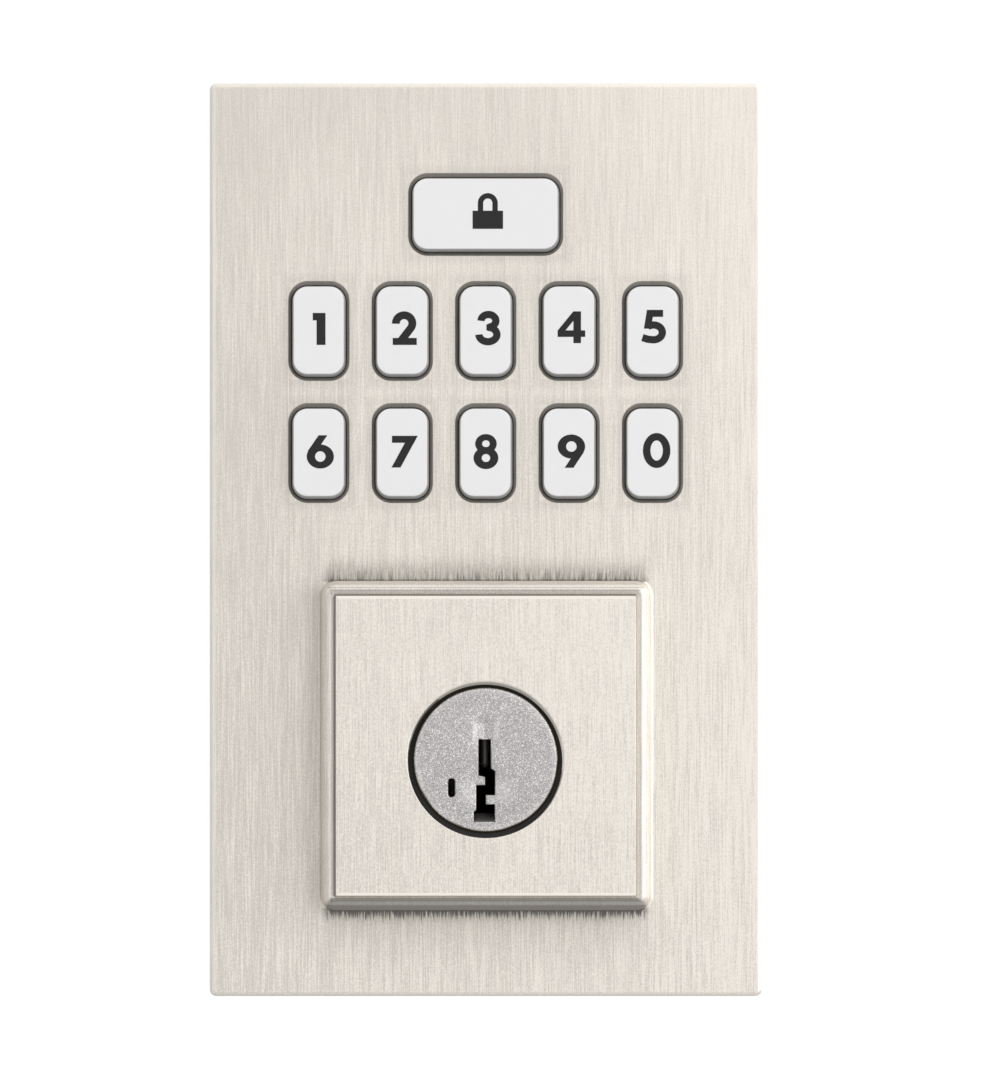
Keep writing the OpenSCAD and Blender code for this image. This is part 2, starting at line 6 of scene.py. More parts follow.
import bmesh
import bpy
from bpy.props import FloatProperty, FloatVectorProperty, PointerProperty
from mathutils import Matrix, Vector


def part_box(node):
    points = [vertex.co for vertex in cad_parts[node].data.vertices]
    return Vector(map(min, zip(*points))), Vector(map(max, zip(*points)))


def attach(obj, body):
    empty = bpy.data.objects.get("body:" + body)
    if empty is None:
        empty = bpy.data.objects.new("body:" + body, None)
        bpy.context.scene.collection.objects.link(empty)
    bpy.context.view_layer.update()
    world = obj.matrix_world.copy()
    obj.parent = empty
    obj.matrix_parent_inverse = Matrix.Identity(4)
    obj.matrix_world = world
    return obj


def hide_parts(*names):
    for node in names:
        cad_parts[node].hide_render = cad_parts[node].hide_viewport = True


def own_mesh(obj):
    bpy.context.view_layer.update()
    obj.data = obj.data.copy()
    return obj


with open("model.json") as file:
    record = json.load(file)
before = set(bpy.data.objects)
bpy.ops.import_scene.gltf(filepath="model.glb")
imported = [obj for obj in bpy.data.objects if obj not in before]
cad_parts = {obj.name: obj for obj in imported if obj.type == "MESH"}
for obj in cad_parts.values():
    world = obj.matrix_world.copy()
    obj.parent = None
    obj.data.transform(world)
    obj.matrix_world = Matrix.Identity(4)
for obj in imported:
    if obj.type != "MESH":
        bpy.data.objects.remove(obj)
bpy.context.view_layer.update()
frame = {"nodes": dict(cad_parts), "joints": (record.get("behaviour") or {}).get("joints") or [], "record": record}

bl_info = {
    "name": "Keypad Lock Builder",
    "version": (1, 0, 0),
    "blender": (4, 5, 0),
    "location": "3D View > Sidebar > Lock",
    "description": "Builds the cover, keys, cylinder, finishes and stage of a keypad door lock",
    "category": "Object",
}

MM = 0.001
KEYS = [f"key_{sign}" for sign in (*range(1, 10), 0, "lock")]


def length(name, description, default_mm):
    """A length property, given in millimetres."""
    return FloatProperty(
        name=name, description=description, default=default_mm * MM, unit="LENGTH", precision=5
    )


def colour(name, description, default):
    """A linear colour property."""
    return FloatVectorProperty(
        name=name, description=description, default=default, subtype="COLOR", size=3, min=0.0, max=1.0
    )


class LockSizes(bpy.types.PropertyGroup):
    """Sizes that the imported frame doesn't give."""

    housing_rise: length("Housing rise", "How far the square stands in front of the flat cover", 8.5)
    housing_w: length("Housing width", "Width and height of the raised square", 44.3)
    housing_lift: length("Housing lift", "Height of the square's centre above the cylinder's axis", 1.85)
    moulding_w: length("Moulding width", "Width of the moulded edge round the square's face", 2.0)
    wall: length("Wall", "Thickness of the cover's wall", 2.2)
    edge_round: length("Edge round", "Radius along the cover's front edges", 0.6)
    opening_lean: length("Opening lean", "How far an opening's edge slopes in all round", 0.38)
    opening_top: length("Opening top", "How much further it slopes in at the top", 0.22)
    opening_r: length("Opening corners", "Corner radius of a key opening", 2.6)
    key_lip: length("Key lip", "How far a key's lip reaches behind its opening's edge", 0.7)
    cap_gap: length("Cap gap", "Gap between a cap and the back of its opening", 0.12)
    cap_draft: length("Cap draft", "How far a cap's sides slope in", 0.25)
    cap_round: length("Cap round", "Radius round a cap's face", 0.1)
    face_gap: length("Plug gap", "Gap between the plug's face and the cover's hole", 0.7)


class LockColours(bpy.types.PropertyGroup):
    """Colours of the finishes."""

    nickel: colour("Satin nickel", "Plated casting of the cover", (0.78, 0.735, 0.67))
    key_white: colour("Key white", "Caps of the keys", (0.775, 0.77, 0.775))
    ink: colour("Ink", "Digits and sign", (0.016, 0.016, 0.017))
    plug: colour("Plug", "Bead-blasted face of the plug", (0.47, 0.455, 0.45))
    steel: colour("Plated steel", "Back plate, screws and blade", (0.56, 0.57, 0.58))
    brass: colour("Brass", "Shell, sidebar and pins' cover", (0.62, 0.45, 0.19))
    rubber: colour("Rubber", "Gasket, grommet and seal", (0.018, 0.018, 0.019))
    board: colour("Board", "Solder mask of the circuit board", (0.02, 0.16, 0.07))


# ---------- shader expressions ----------


def times(tint, factor, added=0.0):
    """The tint made lighter or darker."""
    return tuple(min(1.0, factor * c + added) for c in tint)


class Field:
    """A number that varies over a surface. Arithmetic on it adds Math nodes."""

    def __init__(self, finish, socket):
        self.finish = finish
        self.socket = socket

    def math(self, operation, *others):
        values = {0: self}
        values.update({place + 1: other for place, other in enumerate(others)})
        node = self.finish.node("ShaderNodeMath", {"operation": operation}, values)
        return Field(self.finish, node.outputs[0])

    def __add__(self, other):
        return self.math("ADD", other)

    __radd__ = __add__

    def __mul__(self, other):
        return self.math("MULTIPLY", other)

    __rmul__ = __mul__

    def __sub__(self, other):
        return self.math("SUBTRACT", other)

    def __rsub__(self, other):
        return (self * -1.0).math("ADD", other)

    def __truediv__(self, other):
        return self.math("DIVIDE", other)

    def __pow__(self, other):
        return self.math("POWER", other)

    def absolute(self):
        return self.math("ABSOLUTE")

    def least(self, other):
        return self.math("MINIMUM", other)

    def most(self, other):
        return self.math("MAXIMUM", other)

    def clamped(self):
        return self.most(0.0).least(1.0)

    def step(self, low, high):
        """0 below low and 1 above high, smooth between them. low above high turns it round."""
        ramp = ((self - low) / (high - low)).clamped()
        return ramp * ramp * (3.0 - 2.0 * ramp)

    def close_to(self, place, far, near):
        """1 within near of a place and 0 beyond far from it, smooth between them."""
        return (self - place).absolute().step(far, near)

    def folded(self):
        """Distance to the middle of each whole step: from 0 in the middle to 0.5 at its ends."""
        return (self.math("FRACT") - 0.5).absolute()


class Finish:
    """Builds one material round a Principled shader."""

    def __init__(self, name):
        self.material = bpy.data.materials.new(name)
        self.material.use_nodes = True
        self.tree = self.material.node_tree
        self.shader = self.tree.nodes["Principled BSDF"]
        coordinates = self.node("ShaderNodeTexCoord")
        millimetres = self.node(
            "ShaderNodeVectorMath",
            {"operation": "SCALE"},
            {"Vector": coordinates.outputs["Object"], "Scale": 1 / MM},
        )
        self.place = millimetres.outputs["Vector"]
        self.x, self.y, self.z = self.parts(self.place)
        self.facing_z = self.parts(coordinates.outputs["Normal"])[2]

    def node(self, kind, settings=None, sockets=None):
        """Adds a node: its settings first, then the values or links of its sockets."""
        node = self.tree.nodes.new(kind)
        for key, value in (settings or {}).items():
            setattr(node, key, value)
        for key, value in (sockets or {}).items():
            value = value.socket if isinstance(value, Field) else value
            if isinstance(value, bpy.types.NodeSocket):
                self.tree.links.new(value, node.inputs[key])
            else:
                node.inputs[key].default_value = value
        return node

    def parts(self, vector):
        """The three numbers of a vector."""
        node = self.node("ShaderNodeSeparateXYZ", {}, {"Vector": vector})
        return [Field(self, out) for out in node.outputs]

    def from_axis(self):
        """Distance from the cylinder's axis."""
        return (self.x * self.x + self.z * self.z) ** 0.5

    def noise(self, per_mm, detail=2.0, roughness=0.5, shift=0.0):
        """Noise with that many features to a millimetre along X, Y and Z."""
        stretched = self.node(
            "ShaderNodeVectorMath",
            {"operation": "MULTIPLY_ADD"},
            {0: self.place, 1: Vector(per_mm), 2: Vector((shift, shift, shift))},
        )
        grain = self.node(
            "ShaderNodeTexNoise",
            {"noise_dimensions": "3D"},
            {"Vector": stretched.outputs["Vector"], "Scale": 1.0, "Detail": detail, "Roughness": roughness},
        )
        return Field(self, grain.outputs[0])

    def grains(self, per_mm):
        """Node that splits the space into small grains."""
        return self.node(
            "ShaderNodeTexVoronoi", {"feature": "F1"}, {"Vector": self.place, "Scale": float(per_mm)}
        )

    def cells(self, per_mm):
        """Distance to the middle of the nearest grain."""
        return Field(self, self.grains(per_mm).outputs["Distance"])

    def speckle(self, per_mm):
        """A random number for each small grain."""
        return self.parts(self.grains(per_mm).outputs["Color"])[0]

    def mixed(self, first, second, share, blend="MIX"):
        """Colour socket between two colours."""
        settings = {"data_type": "RGBA", "blend_type": blend}
        as_colour = [c if isinstance(c, bpy.types.NodeSocket) else (*c, 1.0) for c in (first, second)]
        node = self.node("ShaderNodeMix", settings, {0: share, 6: as_colour[0], 7: as_colour[1]})
        return node.outputs[2]

    def shaded(self, tint, low, high, share):
        """The tint between low and high times itself."""
        return self.mixed(times(tint, low), times(tint, high), share)

    def bump(self, height, depth_mm, strength=1.0):
        """Small relief, for grain that is finer than the mesh."""
        node = self.node(
            "ShaderNodeBump", {}, {"Height": height, "Distance": depth_mm * MM, "Strength": strength}
        )
        return node.outputs["Normal"]

    def surface(self, **sockets):
        """Sets or links the shader's sockets, named with _ for a space."""
        for key, value in sockets.items():
            value = value.socket if isinstance(value, Field) else value
            socket = self.shader.inputs[key.replace("_", " ")]
            if isinstance(value, bpy.types.NodeSocket):
                self.tree.links.new(value, socket)
            else:
                socket.default_value = value
        return self.material


# ---------- finishes ----------


def satin_nickel(colours, sizes, at):
    """Plated casting brushed up and down, with the dark marks that the brush leaves round the square, painted
    shade round the square, the keys and the hole, painted highlights on the edges, and painted light growing
    towards the right.
    """
    finish = Finish("satin_nickel")
    broad = finish.noise((0.8, 0.8, 0.03), detail=3.0)
    fine = finish.noise((6.2, 6.2, 0.13), detail=3.0, roughness=0.7, shift=3.0)
    grit = finish.noise((6.5, 6.5, 4.5), detail=1.0, shift=9.0)
    cloud = finish.noise((0.04, 0.04, 0.03), detail=2.0, shift=5.0)
    brush = 0.06 * broad + 0.6 * fine + 0.34 * grit
    bite = 5.2 - 0.028 * finish.z
    # Painted light: the cover is painted lighter towards the right, where the lamp is, and the square's face is
    # painted lighter.
    painted_light_on_square = finish.y.step(at.housing_face / MM + 0.3, at.housing_face / MM + 0.1)
    tone = 0.52 + (brush - 0.5) * bite + (cloud - 0.5) * 0.6 + finish.x * 0.0068 + 0.12 * painted_light_on_square
    base = finish.shaded(colours.nickel, 0.82, 1.14, tone.clamped())
    # marks holds the brush marks and the painted shade; it darkens the base towards a dark nickel.
    marks = brush_marks_and_shade(finish, sizes, at)
    base = finish.mixed(base, times(colours.nickel, 0.22), marks)
    # worn holds the hands' polish and the painted highlights on the edges; it lightens the base.
    worn = edge_wear_and_highlight(finish, sizes, at)
    base = finish.mixed(base, times(colours.nickel, 1.2), worn * (1.0 - marks))
    rough = 0.33 + 0.16 * brush + 0.1 * marks
    relief = finish.bump(brush, 0.014, 0.6)
    return finish.surface(Base_Color=base, Metallic=0.92, Roughness=rough, Normal=relief)


def edge_wear_and_highlight(finish, sizes, at):
    """How much lighter the edges are painted: hands' polish and painted highlight on the flat front's edges, and a
    painted highlight along the edge of the square's face: 0 on the flat, up to 1 on the edges.
    """
    left, right, bottom, top = (value / MM for value in (at.left, at.right, at.bottom, at.top))
    sides = finish.x.step(left + 1.0, left + 0.35).most(finish.x.step(right - 1.0, right - 0.35))
    ends = finish.z.step(bottom + 0.8, bottom + 0.3).most(finish.z.step(top - 0.8, top - 0.3))
    near_front = finish.y.step(at.plate_front / MM + 2.0, at.plate_front / MM + 0.5)
    patchy = 0.6 + 0.8 * (finish.noise((0.2, 0.2, 0.2), detail=3.0, shift=11.0) - 0.25)
    half = sizes.housing_w / MM / 2 - sizes.moulding_w / MM
    height = (finish.z - sizes.housing_lift / MM).absolute()
    on_face = finish.y.step(at.housing_face / MM + 0.1, at.housing_face / MM + 0.02)
    # Painted highlight along the crisp edge of the square's face.
    face_edge_highlight = on_face * height.step(half - 0.5, half - 0.3) * finish.x.absolute().step(half, half - 0.4)
    return (0.75 * sides.most(0.6 * ends) * near_front * patchy + 0.9 * face_edge_highlight).clamped()


def brush_marks_and_shade(finish, sizes, at):
    """How dark the finish is painted: brush marks where the brush didn't reach, and painted shade in corners,
    openings, the hole and on faces turned down: 0 on open surfaces, up to 1 in corners.
    """
    plate = at.plate_front / MM
    face = at.housing_face / MM
    keypad, round_keys = key_field(finish, at)
    # Painted shade on the openings' rolled edges and walls, and a soft painted shade round each opening.
    edge = 0.54 * finish.y.step(plate + 0.012, plate + 0.06) + 0.3 * finish.y.step(plate + 0.24, plate + 0.5)
    painted_shade_round_keys = 0.1 * round_keys.step(1.5, 0.1) * round_keys.step(-0.3, -0.1)
    # Painted shade on faces turned down, outside the keypad.
    lip = 0.3 * finish.y.step(plate + 0.1, plate + 0.5) * (-1.0 * finish.facing_z).step(0.3, 0.9)
    # Painted shade in the upper part of the cylinder hole's wall.
    near_hole = finish.from_axis().step(at.hole_r / MM + 0.5, at.hole_r / MM + 0.4)
    bore = 0.5 * near_hole * finish.y.step(face + 0.06, face + 0.14) * finish.z.step(0.0, 5.0)
    return (
        bore + marks_and_shade_on_plate(finish, sizes, plate) + painted_shade_on_moulding(finish, sizes, plate, face)
        + keypad * (edge + painted_shade_round_keys) + (1.0 - keypad) * lip
    ).clamped()


def marks_and_shade_on_plate(finish, sizes, plate):
    """Ragged brush marks on the flat cover above and below the square, painted shade along its upper and lower
    edges and under it, and a soft painted shadow on its left.
    """
    half = sizes.housing_w / MM / 2
    middle = sizes.housing_lift / MM
    on_plate = finish.y.step(plate - 0.7, plate - 0.2)
    beside = finish.x.absolute().step(half + 0.3, half - 1.4)
    thread = finish.noise((4.4, 0.0, 0.35), detail=3.0, roughness=0.7, shift=7.0)
    tooth = finish.noise((3.2, 0.0, 0.05), detail=3.0, roughness=0.8, shift=2.0)

    above = finish.z - (middle + half)
    fade = above.step(5.2, 0.0)
    # The thread streaks are brush marks; the dark line at the square's edge is painted shade.
    top_marks_and_shade = fade * fade * (0.24 + 2.6 * (thread - 0.38).most(0.0)) + 0.3 * above.step(0.6, 0.0)
    top_marks_and_shade = top_marks_and_shade * above.step(-0.3, 0.0)

    below = (middle - half) - finish.z
    # The teeth and streaks are brush marks; the band at the square's edge and the wide darkening under the square
    # are painted shade.
    reach = (tooth - 0.4).most(0.0) * 7.0 + 0.25
    low_marks_and_shade = 0.8 * ((reach - below) / 0.45).clamped() + 0.3 * below.step(2.6, 0.2) * thread
    low_marks_and_shade = low_marks_and_shade + 0.06 * below.step(9.0, 3.0)
    low_marks_and_shade = low_marks_and_shade * below.step(-0.4, -0.1)

    # Painted shadow on the left of the square.
    left = (-1.0 * finish.x) - half
    high = finish.z.close_to(middle, half + 1.5, half - 2.5)
    painted_shadow_left = 0.16 * left.step(3.4, 0.4) * left.step(-0.4, 0.0) * high
    return on_plate * beside * (top_marks_and_shade + low_marks_and_shade) + on_plate * painted_shadow_left


def painted_shade_on_moulding(finish, sizes, plate, face):
    """Painted shade along the moulded edge of the square: a dark groove, dark lines, a darker underside and left
    side, by the distance outwards from its inner side.
    """
    inner = sizes.housing_w / MM / 2 - sizes.moulding_w / MM
    across = finish.x.absolute()
    drop = sizes.housing_lift / MM - finish.z
    round_square = across.most(drop.absolute())
    on_moulding = finish.y.step(face + 0.06, face + 0.2) * finish.y.step(plate - 0.02, plate - 0.3)
    upper_side = (drop + across).step(0.3, -0.3)
    valley = round_square.step(inner - 0.03, inner + 0.04) * round_square.step(inner + 0.3, inner + 0.12)
    valley = valley * (0.14 + 0.5 * upper_side)
    break_line = 0.12 * round_square.close_to(inner + 0.66, 0.13, 0.02)
    underside = 0.8 * drop.step(inner + 0.16, inner + 0.34) * (drop - across).step(-0.7, 0.3)
    stripe = 1.0 - 0.25 * drop.close_to(inner + 1.05, 0.3, 0.08)
    lines = [round_square.close_to(inner + place, 0.12, 0.03) for place in (0.79, 1.12)]
    top_band = 0.1 * round_square.step(inner + 1.05, inner + 0.75)
    over_face = upper_side * (0.42 * (lines[0] + lines[1]) + top_band)
    left_band = (finish.x + drop.absolute()).step(0.3, -0.3) * round_square.step(inner + 0.78, inner + 0.62)
    return on_moulding * (valley + break_line + underside * stripe + over_face + 0.5 * left_band)


def key_field(finish, at):
    """1 inside the keypad and 0 elsewhere, and the distance to the nearest opening's edge in millimetres."""
    pads = [[value / MM for value in (*centre, *size)] for centre, size in at.openings]
    left, right = min(x - w / 2 for x, _, w, _ in pads), max(x + w / 2 for x, _, w, _ in pads)
    low, high = min(z - h / 2 for _, z, _, h in pads), max(z + h / 2 for _, z, _, h in pads)
    near, far = 1.6, 2.0
    keypad = finish.x.step(left - far, left - near) * finish.x.step(right + far, right + near)
    keypad = keypad * finish.z.step(low - far, low - near) * finish.z.step(high + far, high + near)
    rows = sorted({round(z, 3) for _, z, _, _ in pads})
    pitch = pads[1][0] - pads[0][0]
    _, _, w, h = pads[0]
    over_x = (finish.x / pitch + 0.5).folded() * pitch - w / 2
    over_z = (finish.z - rows[0]).absolute().least((finish.z - rows[1]).absolute()) - h / 2
    wide_x, wide_z, wide_w, wide_h = pads[-1]
    wide = ((finish.x - wide_x).absolute() - wide_w / 2).most((finish.z - wide_z).absolute() - wide_h / 2)
    return keypad, over_x.most(over_z).least(wide)


def key_plastic(colours, cap_front):
    """Smooth white plastic whose sides are painted darker with depth, as painted shade from the gap."""
    finish = Finish("key_white")
    mottle = finish.noise((0.5, 0.5, 0.35), detail=3.0)
    pores = finish.noise((9.0, 9.0, 9.0), detail=2.0, shift=4.0)
    face = finish.shaded(colours.key_white, 0.985, 1.015, mottle)
    depth = finish.y - cap_front / MM
    # Painted shade: the cap's sides grow darker with depth towards the gap.
    shade = 0.42 * depth.step(0.05, 0.16) + 0.2 * depth.step(0.35, 0.9) + 0.3 * depth.step(1.1, 1.6)
    painted_side_shade = (shade * (0.85 + 0.15 * pores)).clamped()
    base = finish.mixed(face, times(colours.key_white, 0.045), painted_side_shade)
    rough = 0.3 + 0.16 * pores + 0.1 * painted_side_shade
    return finish.surface(Base_Color=base, Roughness=rough, Normal=finish.bump(pores, 0.006, 0.4), IOR=1.46)


def key_ink(colours):
    """Printed black with a faint speckle."""
    finish = Finish("key_ink")
    speckle = finish.noise((6.0, 6.0, 6.0), detail=3.0)
    base = finish.shaded(colours.ink, 0.8, 1.35, speckle)
    relief = finish.bump(speckle, 0.004, 0.4)
    return finish.surface(
        Base_Color=base, Roughness=0.5 + 0.2 * speckle, Normal=relief, Specular_IOR_Level=0.25
    )


def blasted_plug(colours, plug_front):
    """Bead-blasted metal: painted glints and dark grains on the face, painted highlights beside and below the
    slot, painted shade deep in the keyway, turned behind it.
    """
    finish = Finish("plug_blasted")
    grain = finish.speckle(10.0)
    finer = finish.noise((7.0, 7.0, 7.0), detail=2.0, roughness=0.6)
    patch = finish.noise((0.22, 0.22, 0.22), detail=2.0, shift=6.0)
    # Painted glints: a few grains are painted much lighter.
    glints = grain.step(0.74, 0.9)
    pits = grain.step(0.3, 0.1)
    tone = 0.27 + 0.5 * (finer - 0.5) + 0.2 * patch + 0.62 * glints - 0.25 * pits
    # Painted highlights on the dish beside and below the slot, and the face's outer edge painted lighter.
    across = finish.x.absolute()
    flank_highlight = across.close_to(1.45, 0.6, 0.05) * finish.z.close_to(3.9, 1.9, 0.6)
    cheek_highlight = across.close_to(2.4, 1.9, 0.2) * finish.z.close_to(-4.2, 2.2, 0.3)
    rim = finish.from_axis().step(8.6, 9.5)
    worn = 0.28 * flank_highlight + 0.22 * cheek_highlight + 0.16 * rim
    blasted = finish.shaded(colours.plug, 0.55, 1.8, (tone + worn).clamped())
    turned = finish.noise((0.15, 7.0, 0.15), detail=2.0, shift=2.0)
    lathe = finish.shaded(colours.plug, 0.7, 1.25, turned)
    inside = finish.y.step(plug_front / MM + 0.7, plug_front / MM + 1.2)
    base = finish.mixed(blasted, lathe, inside)
    # Painted shade deep in the keyway.
    deep = finish.y.step(plug_front / MM + 0.5, plug_front / MM + 2.2)
    keyway_shade = deep * across.step(1.9, 1.6) * finish.z.step(3.2, 2.9)
    base = finish.mixed(base, (0.02, 0.018, 0.016), keyway_shade * 0.9)
    height = (finer + 0.3 * grain) * (1.0 - inside) + 0.15 * turned * inside
    return finish.surface(
        Base_Color=base, Metallic=0.85, Roughness=0.4 + 0.2 * finer, Normal=finish.bump(height, 0.04, 0.7)
    )


def machined(name, tint, grain, worn=0.12, metallic=1.0, roughness=0.32, blackened=None):
    """Turned, drawn or plated metal: streaks along the tool's way, small stains and uneven gloss.
    Blackened gives the Y, in millimetres, in front of which the metal is painted near black."""
    finish = Finish(name)
    streak = finish.noise(grain, detail=3.0, roughness=0.6)
    stain = finish.noise((0.12, 0.12, 0.12), detail=4.0, shift=5.0)
    tone = 0.55 * streak + 0.45 * stain
    base = finish.shaded(tint, 1.0 - worn, 1.0 + worn, tone)
    if blackened is not None:
        base = finish.mixed(base, (0.012, 0.012, 0.012), 0.96 * finish.y.step(blackened + 0.3, blackened))
    rough = roughness - 0.08 + 0.2 * tone
    return finish.surface(
        Base_Color=base, Metallic=metallic, Roughness=rough, Normal=finish.bump(streak, 0.01, 0.5)
    )


def soft_black(name, tint, per_mm, depth_mm):
    """Rubber or foam: pores, dust in them and a dull skin."""
    finish = Finish(name)
    pores = finish.cells(per_mm)
    dust = finish.noise((0.3, 0.3, 0.3), detail=5.0, roughness=0.7)
    base = finish.mixed(tint, times(tint, 2.6, 0.02), (dust * dust).clamped())
    return finish.surface(
        Base_Color=base, Roughness=0.62 + 0.25 * dust, Normal=finish.bump(pores, depth_mm, 0.6), IOR=1.5
    )


def moulded(name, tint, gloss=0.4):
    """Moulded plastic with a fine spark-eroded grain."""
    finish = Finish(name)
    grain = finish.noise((5.0, 5.0, 5.0), detail=3.0)
    flow = finish.noise((0.1, 0.1, 0.2), detail=2.0, shift=8.0)
    base = finish.shaded(tint, 0.93, 1.06, 0.4 * grain + 0.6 * flow)
    relief = finish.bump(grain, 0.012, 0.5)
    return finish.surface(Base_Color=base, Roughness=gloss + 0.2 * grain, Normal=relief)


def printed_board(colours):
    """Solder mask over copper tracks, with tinned pads."""
    finish = Finish("board_laminate")
    weave = finish.noise((2.5, 2.5, 2.5), detail=2.0)
    rows = (finish.z * 0.9 + 2.5 * finish.noise((0.08, 0.0, 0.08), detail=0.0)).folded()
    columns = (finish.x * 0.7).folded()
    wander = finish.noise((0.09, 0.0, 0.09), detail=1.0, shift=4.0)
    tracks = rows.step(0.16, 0.1) * wander.step(0.42, 0.5)
    pads = rows.step(0.2, 0.12) * columns.step(0.2, 0.12) * wander.step(0.4, 0.33)
    mask = finish.shaded(colours.board, 0.8, 1.2, weave)
    base = finish.mixed(mask, times(colours.board, 1.7, 0.02), tracks)
    base = finish.mixed(base, (0.7, 0.7, 0.68), pads)
    relief = finish.bump(0.4 * tracks + 0.8 * pads, 0.03, 0.8)
    return finish.surface(
        Base_Color=base, Metallic=0.8 * pads, Roughness=0.3 + 0.15 * weave, Normal=relief
    )


def pale_stage():
    """Even, pale studio paper."""
    finish = Finish("stage_paper")
    fibre = finish.noise((0.02, 0.02, 0.02), detail=3.0)
    base = finish.shaded((0.62, 0.62, 0.62), 0.98, 1.02, fibre)
    return finish.surface(Base_Color=base, Roughness=0.9)


# ---------- shapes ----------


def smooth(low, high, value):
    """0 at low and 1 at high, smooth between them."""
    share = min(1.0, max(0.0, (value - low) / (high - low)))
    return share * share * (3.0 - 2.0 * share)


class Skin:
    """A mesh made of loops of points that lie in planes across Y."""

    def __init__(self):
        self.mesh = bmesh.new()

    def loop(self, points, y):
        return [self.mesh.verts.new((x, y, z)) for x, z in points]

    def bridge(self, first, second):
        count = len(first)
        for i in range(count):
            j = (i + 1) % count
            self.mesh.faces.new((first[i], first[j], second[j], second[i]))

    def sweep(self, outline, stages):
        """Joins the outline's loops through (inset, y) stages and returns the first and last loop."""
        loops = [self.loop(outline(inset), y) for inset, y in stages]
        for first, second in zip(loops, loops[1:]):
            self.bridge(first, second)
        return loops[0], loops[-1]

    def fill(self, *loops):
        """Fills the flat space inside the first loop and outside the others."""
        edges = []
        for loop in loops:
            for i, vertex in enumerate(loop):
                pair = (vertex, loop[(i + 1) % len(loop)])
                edges.append(self.mesh.edges.get(pair) or self.mesh.edges.new(pair))
        bmesh.ops.triangle_fill(self.mesh, edges=edges, use_beauty=True, use_dissolve=False)

    def built(self, name, material, sharp_degrees=32.0):
        return placed(name, outward(self.mesh, name), material, sharp_degrees)


def outward(shape, name):
    """Mesh of a finished bmesh, with its faces turned outwards."""
    bmesh.ops.recalc_face_normals(shape, faces=shape.faces)
    data = bpy.data.meshes.new(name)
    shape.to_mesh(data)
    shape.free()
    return data


def placed(name, data, material, sharp_degrees=32.0):
    """Links a mesh as a piece with smooth shading that stays crisp at its edges."""
    piece = bpy.data.objects.new(name, data)
    bpy.context.scene.collection.objects.link(piece)
    data.materials.clear()
    data.materials.append(material)
    data.shade_smooth()
    data.set_sharp_from_angle(angle=math.radians(sharp_degrees))
    weighted = piece.modifiers.new("even_normals", "WEIGHTED_NORMAL")
    weighted.keep_sharp = True
    return piece


def rounded_rect(x, z, w, h, r, steps=9):
    """Outline that takes an inset: a rectangle with round corners."""

    def outline(inset):
        half_w = w / 2 - inset
        half_h = h / 2 - inset
        corner = min(max(r - inset, 0.03 * MM), half_w, half_h)
        points = []
        for quarter, (side_x, side_z) in enumerate(((1, 1), (-1, 1), (-1, -1), (1, -1))):
            for i in range(steps + 1):
                turn = math.pi / 2 * (quarter + i / steps)
                points.append((
                    x + side_x * (half_w - corner) + corner * math.cos(turn),
                    z + side_z * (half_h - corner) + corner * math.sin(turn),
                ))
        return points

    return outline


def leaning(centre, size, sizes):
    """Outline of a key's opening that takes an inset, which is larger towards the top."""
    outline = rounded_rect(*centre, *size, sizes.opening_r)
    low = centre[1] - size[1] / 2

    def leant(inset):
        share = min(1.0, max(0.0, inset / sizes.opening_lean))
        return [(x, z - share * sizes.opening_top * (z - low) / size[1]) for x, z in outline(inset)]

    return leant


def circle(x, z, r, count=96):
    """Outline that takes an inset: a circle."""

    def outline(inset):
        turns = [math.tau * i / count for i in range(count)]
        return [(x + (r - inset) * math.cos(turn), z + (r - inset) * math.sin(turn)) for turn in turns]

    return outline


def corners(points):
    """Outline that takes an inset: a polygon given anticlockwise, moved in along its sides."""

    def outline(inset):
        moved = []
        for i, here in enumerate(points):
            before, after = Vector(points[i - 1]), Vector(points[(i + 1) % len(points)])
            here = Vector(here)
            into = (here - before).normalized()
            away = (after - here).normalized()
            side_in, side_out = Vector((-into.y, into.x)), Vector((-away.y, away.x))
            mitre = (side_in + side_out) / (1.0 + side_in.dot(side_out))
            moved.append(tuple(here + mitre * inset))
        return moved

    return outline


def quarter(steps, first=0):
    """Sines and cosines of a quarter turn, in even steps."""
    turns = [math.pi / 2 * i / steps for i in range(first, steps + 1)]
    return [(math.sin(turn), math.cos(turn)) for turn in turns]


def rolled(y, radius, steps=5, start=0.0):
    """Stages round an edge: from the front face's plane at y back by the radius."""
    return [(start + radius * (1 - s), y + radius * (1 - c)) for s, c in quarter(steps)]


def arc(x, z, rx, rz, first, last, steps=20):
    """Points along an ellipse, angles in degrees."""
    turns = [math.radians(first + (last - first) * i / steps) for i in range(steps + 1)]
    return [(x + rx * math.cos(turn), z + rz * math.sin(turn)) for turn in turns]


def ring(x, z, outer, inner):
    """Closed stroke between two ellipses, given by their half widths and half heights."""
    sides = [arc(x, z, *radii, 0, 360, 40)[:-1] for radii in (outer, inner)]
    return (*sides, True)


def line(path, width=0.98, level_end=False):
    """Open stroke along a path. Its last end is square, or cut level."""
    left, right = rails(path, width)
    if level_end:
        (x0, z0), (x1, z1) = path[-2:]
        lean = (x1 - x0) / (z1 - z0)
        for side in (left, right):
            x, z = side[-1]
            side[-1] = (x + (z1 - z) * lean, z1)
    return left, right, False


def leg(x_top, z_top, x_low, z_low, width=1.18):
    """Slanted or upright stroke with level ends, of that width along X."""
    half = width / 2
    left, right = ([(x_top + side, z_top), (x_low + side, z_low)] for side in (-half, half))
    return left, right, False


def bar(x_left, x_right, z, height=0.94):
    """Level stroke."""
    half = height / 2
    return [(x_left, z + half), (x_right, z + half)], [(x_left, z - half), (x_right, z - half)], False


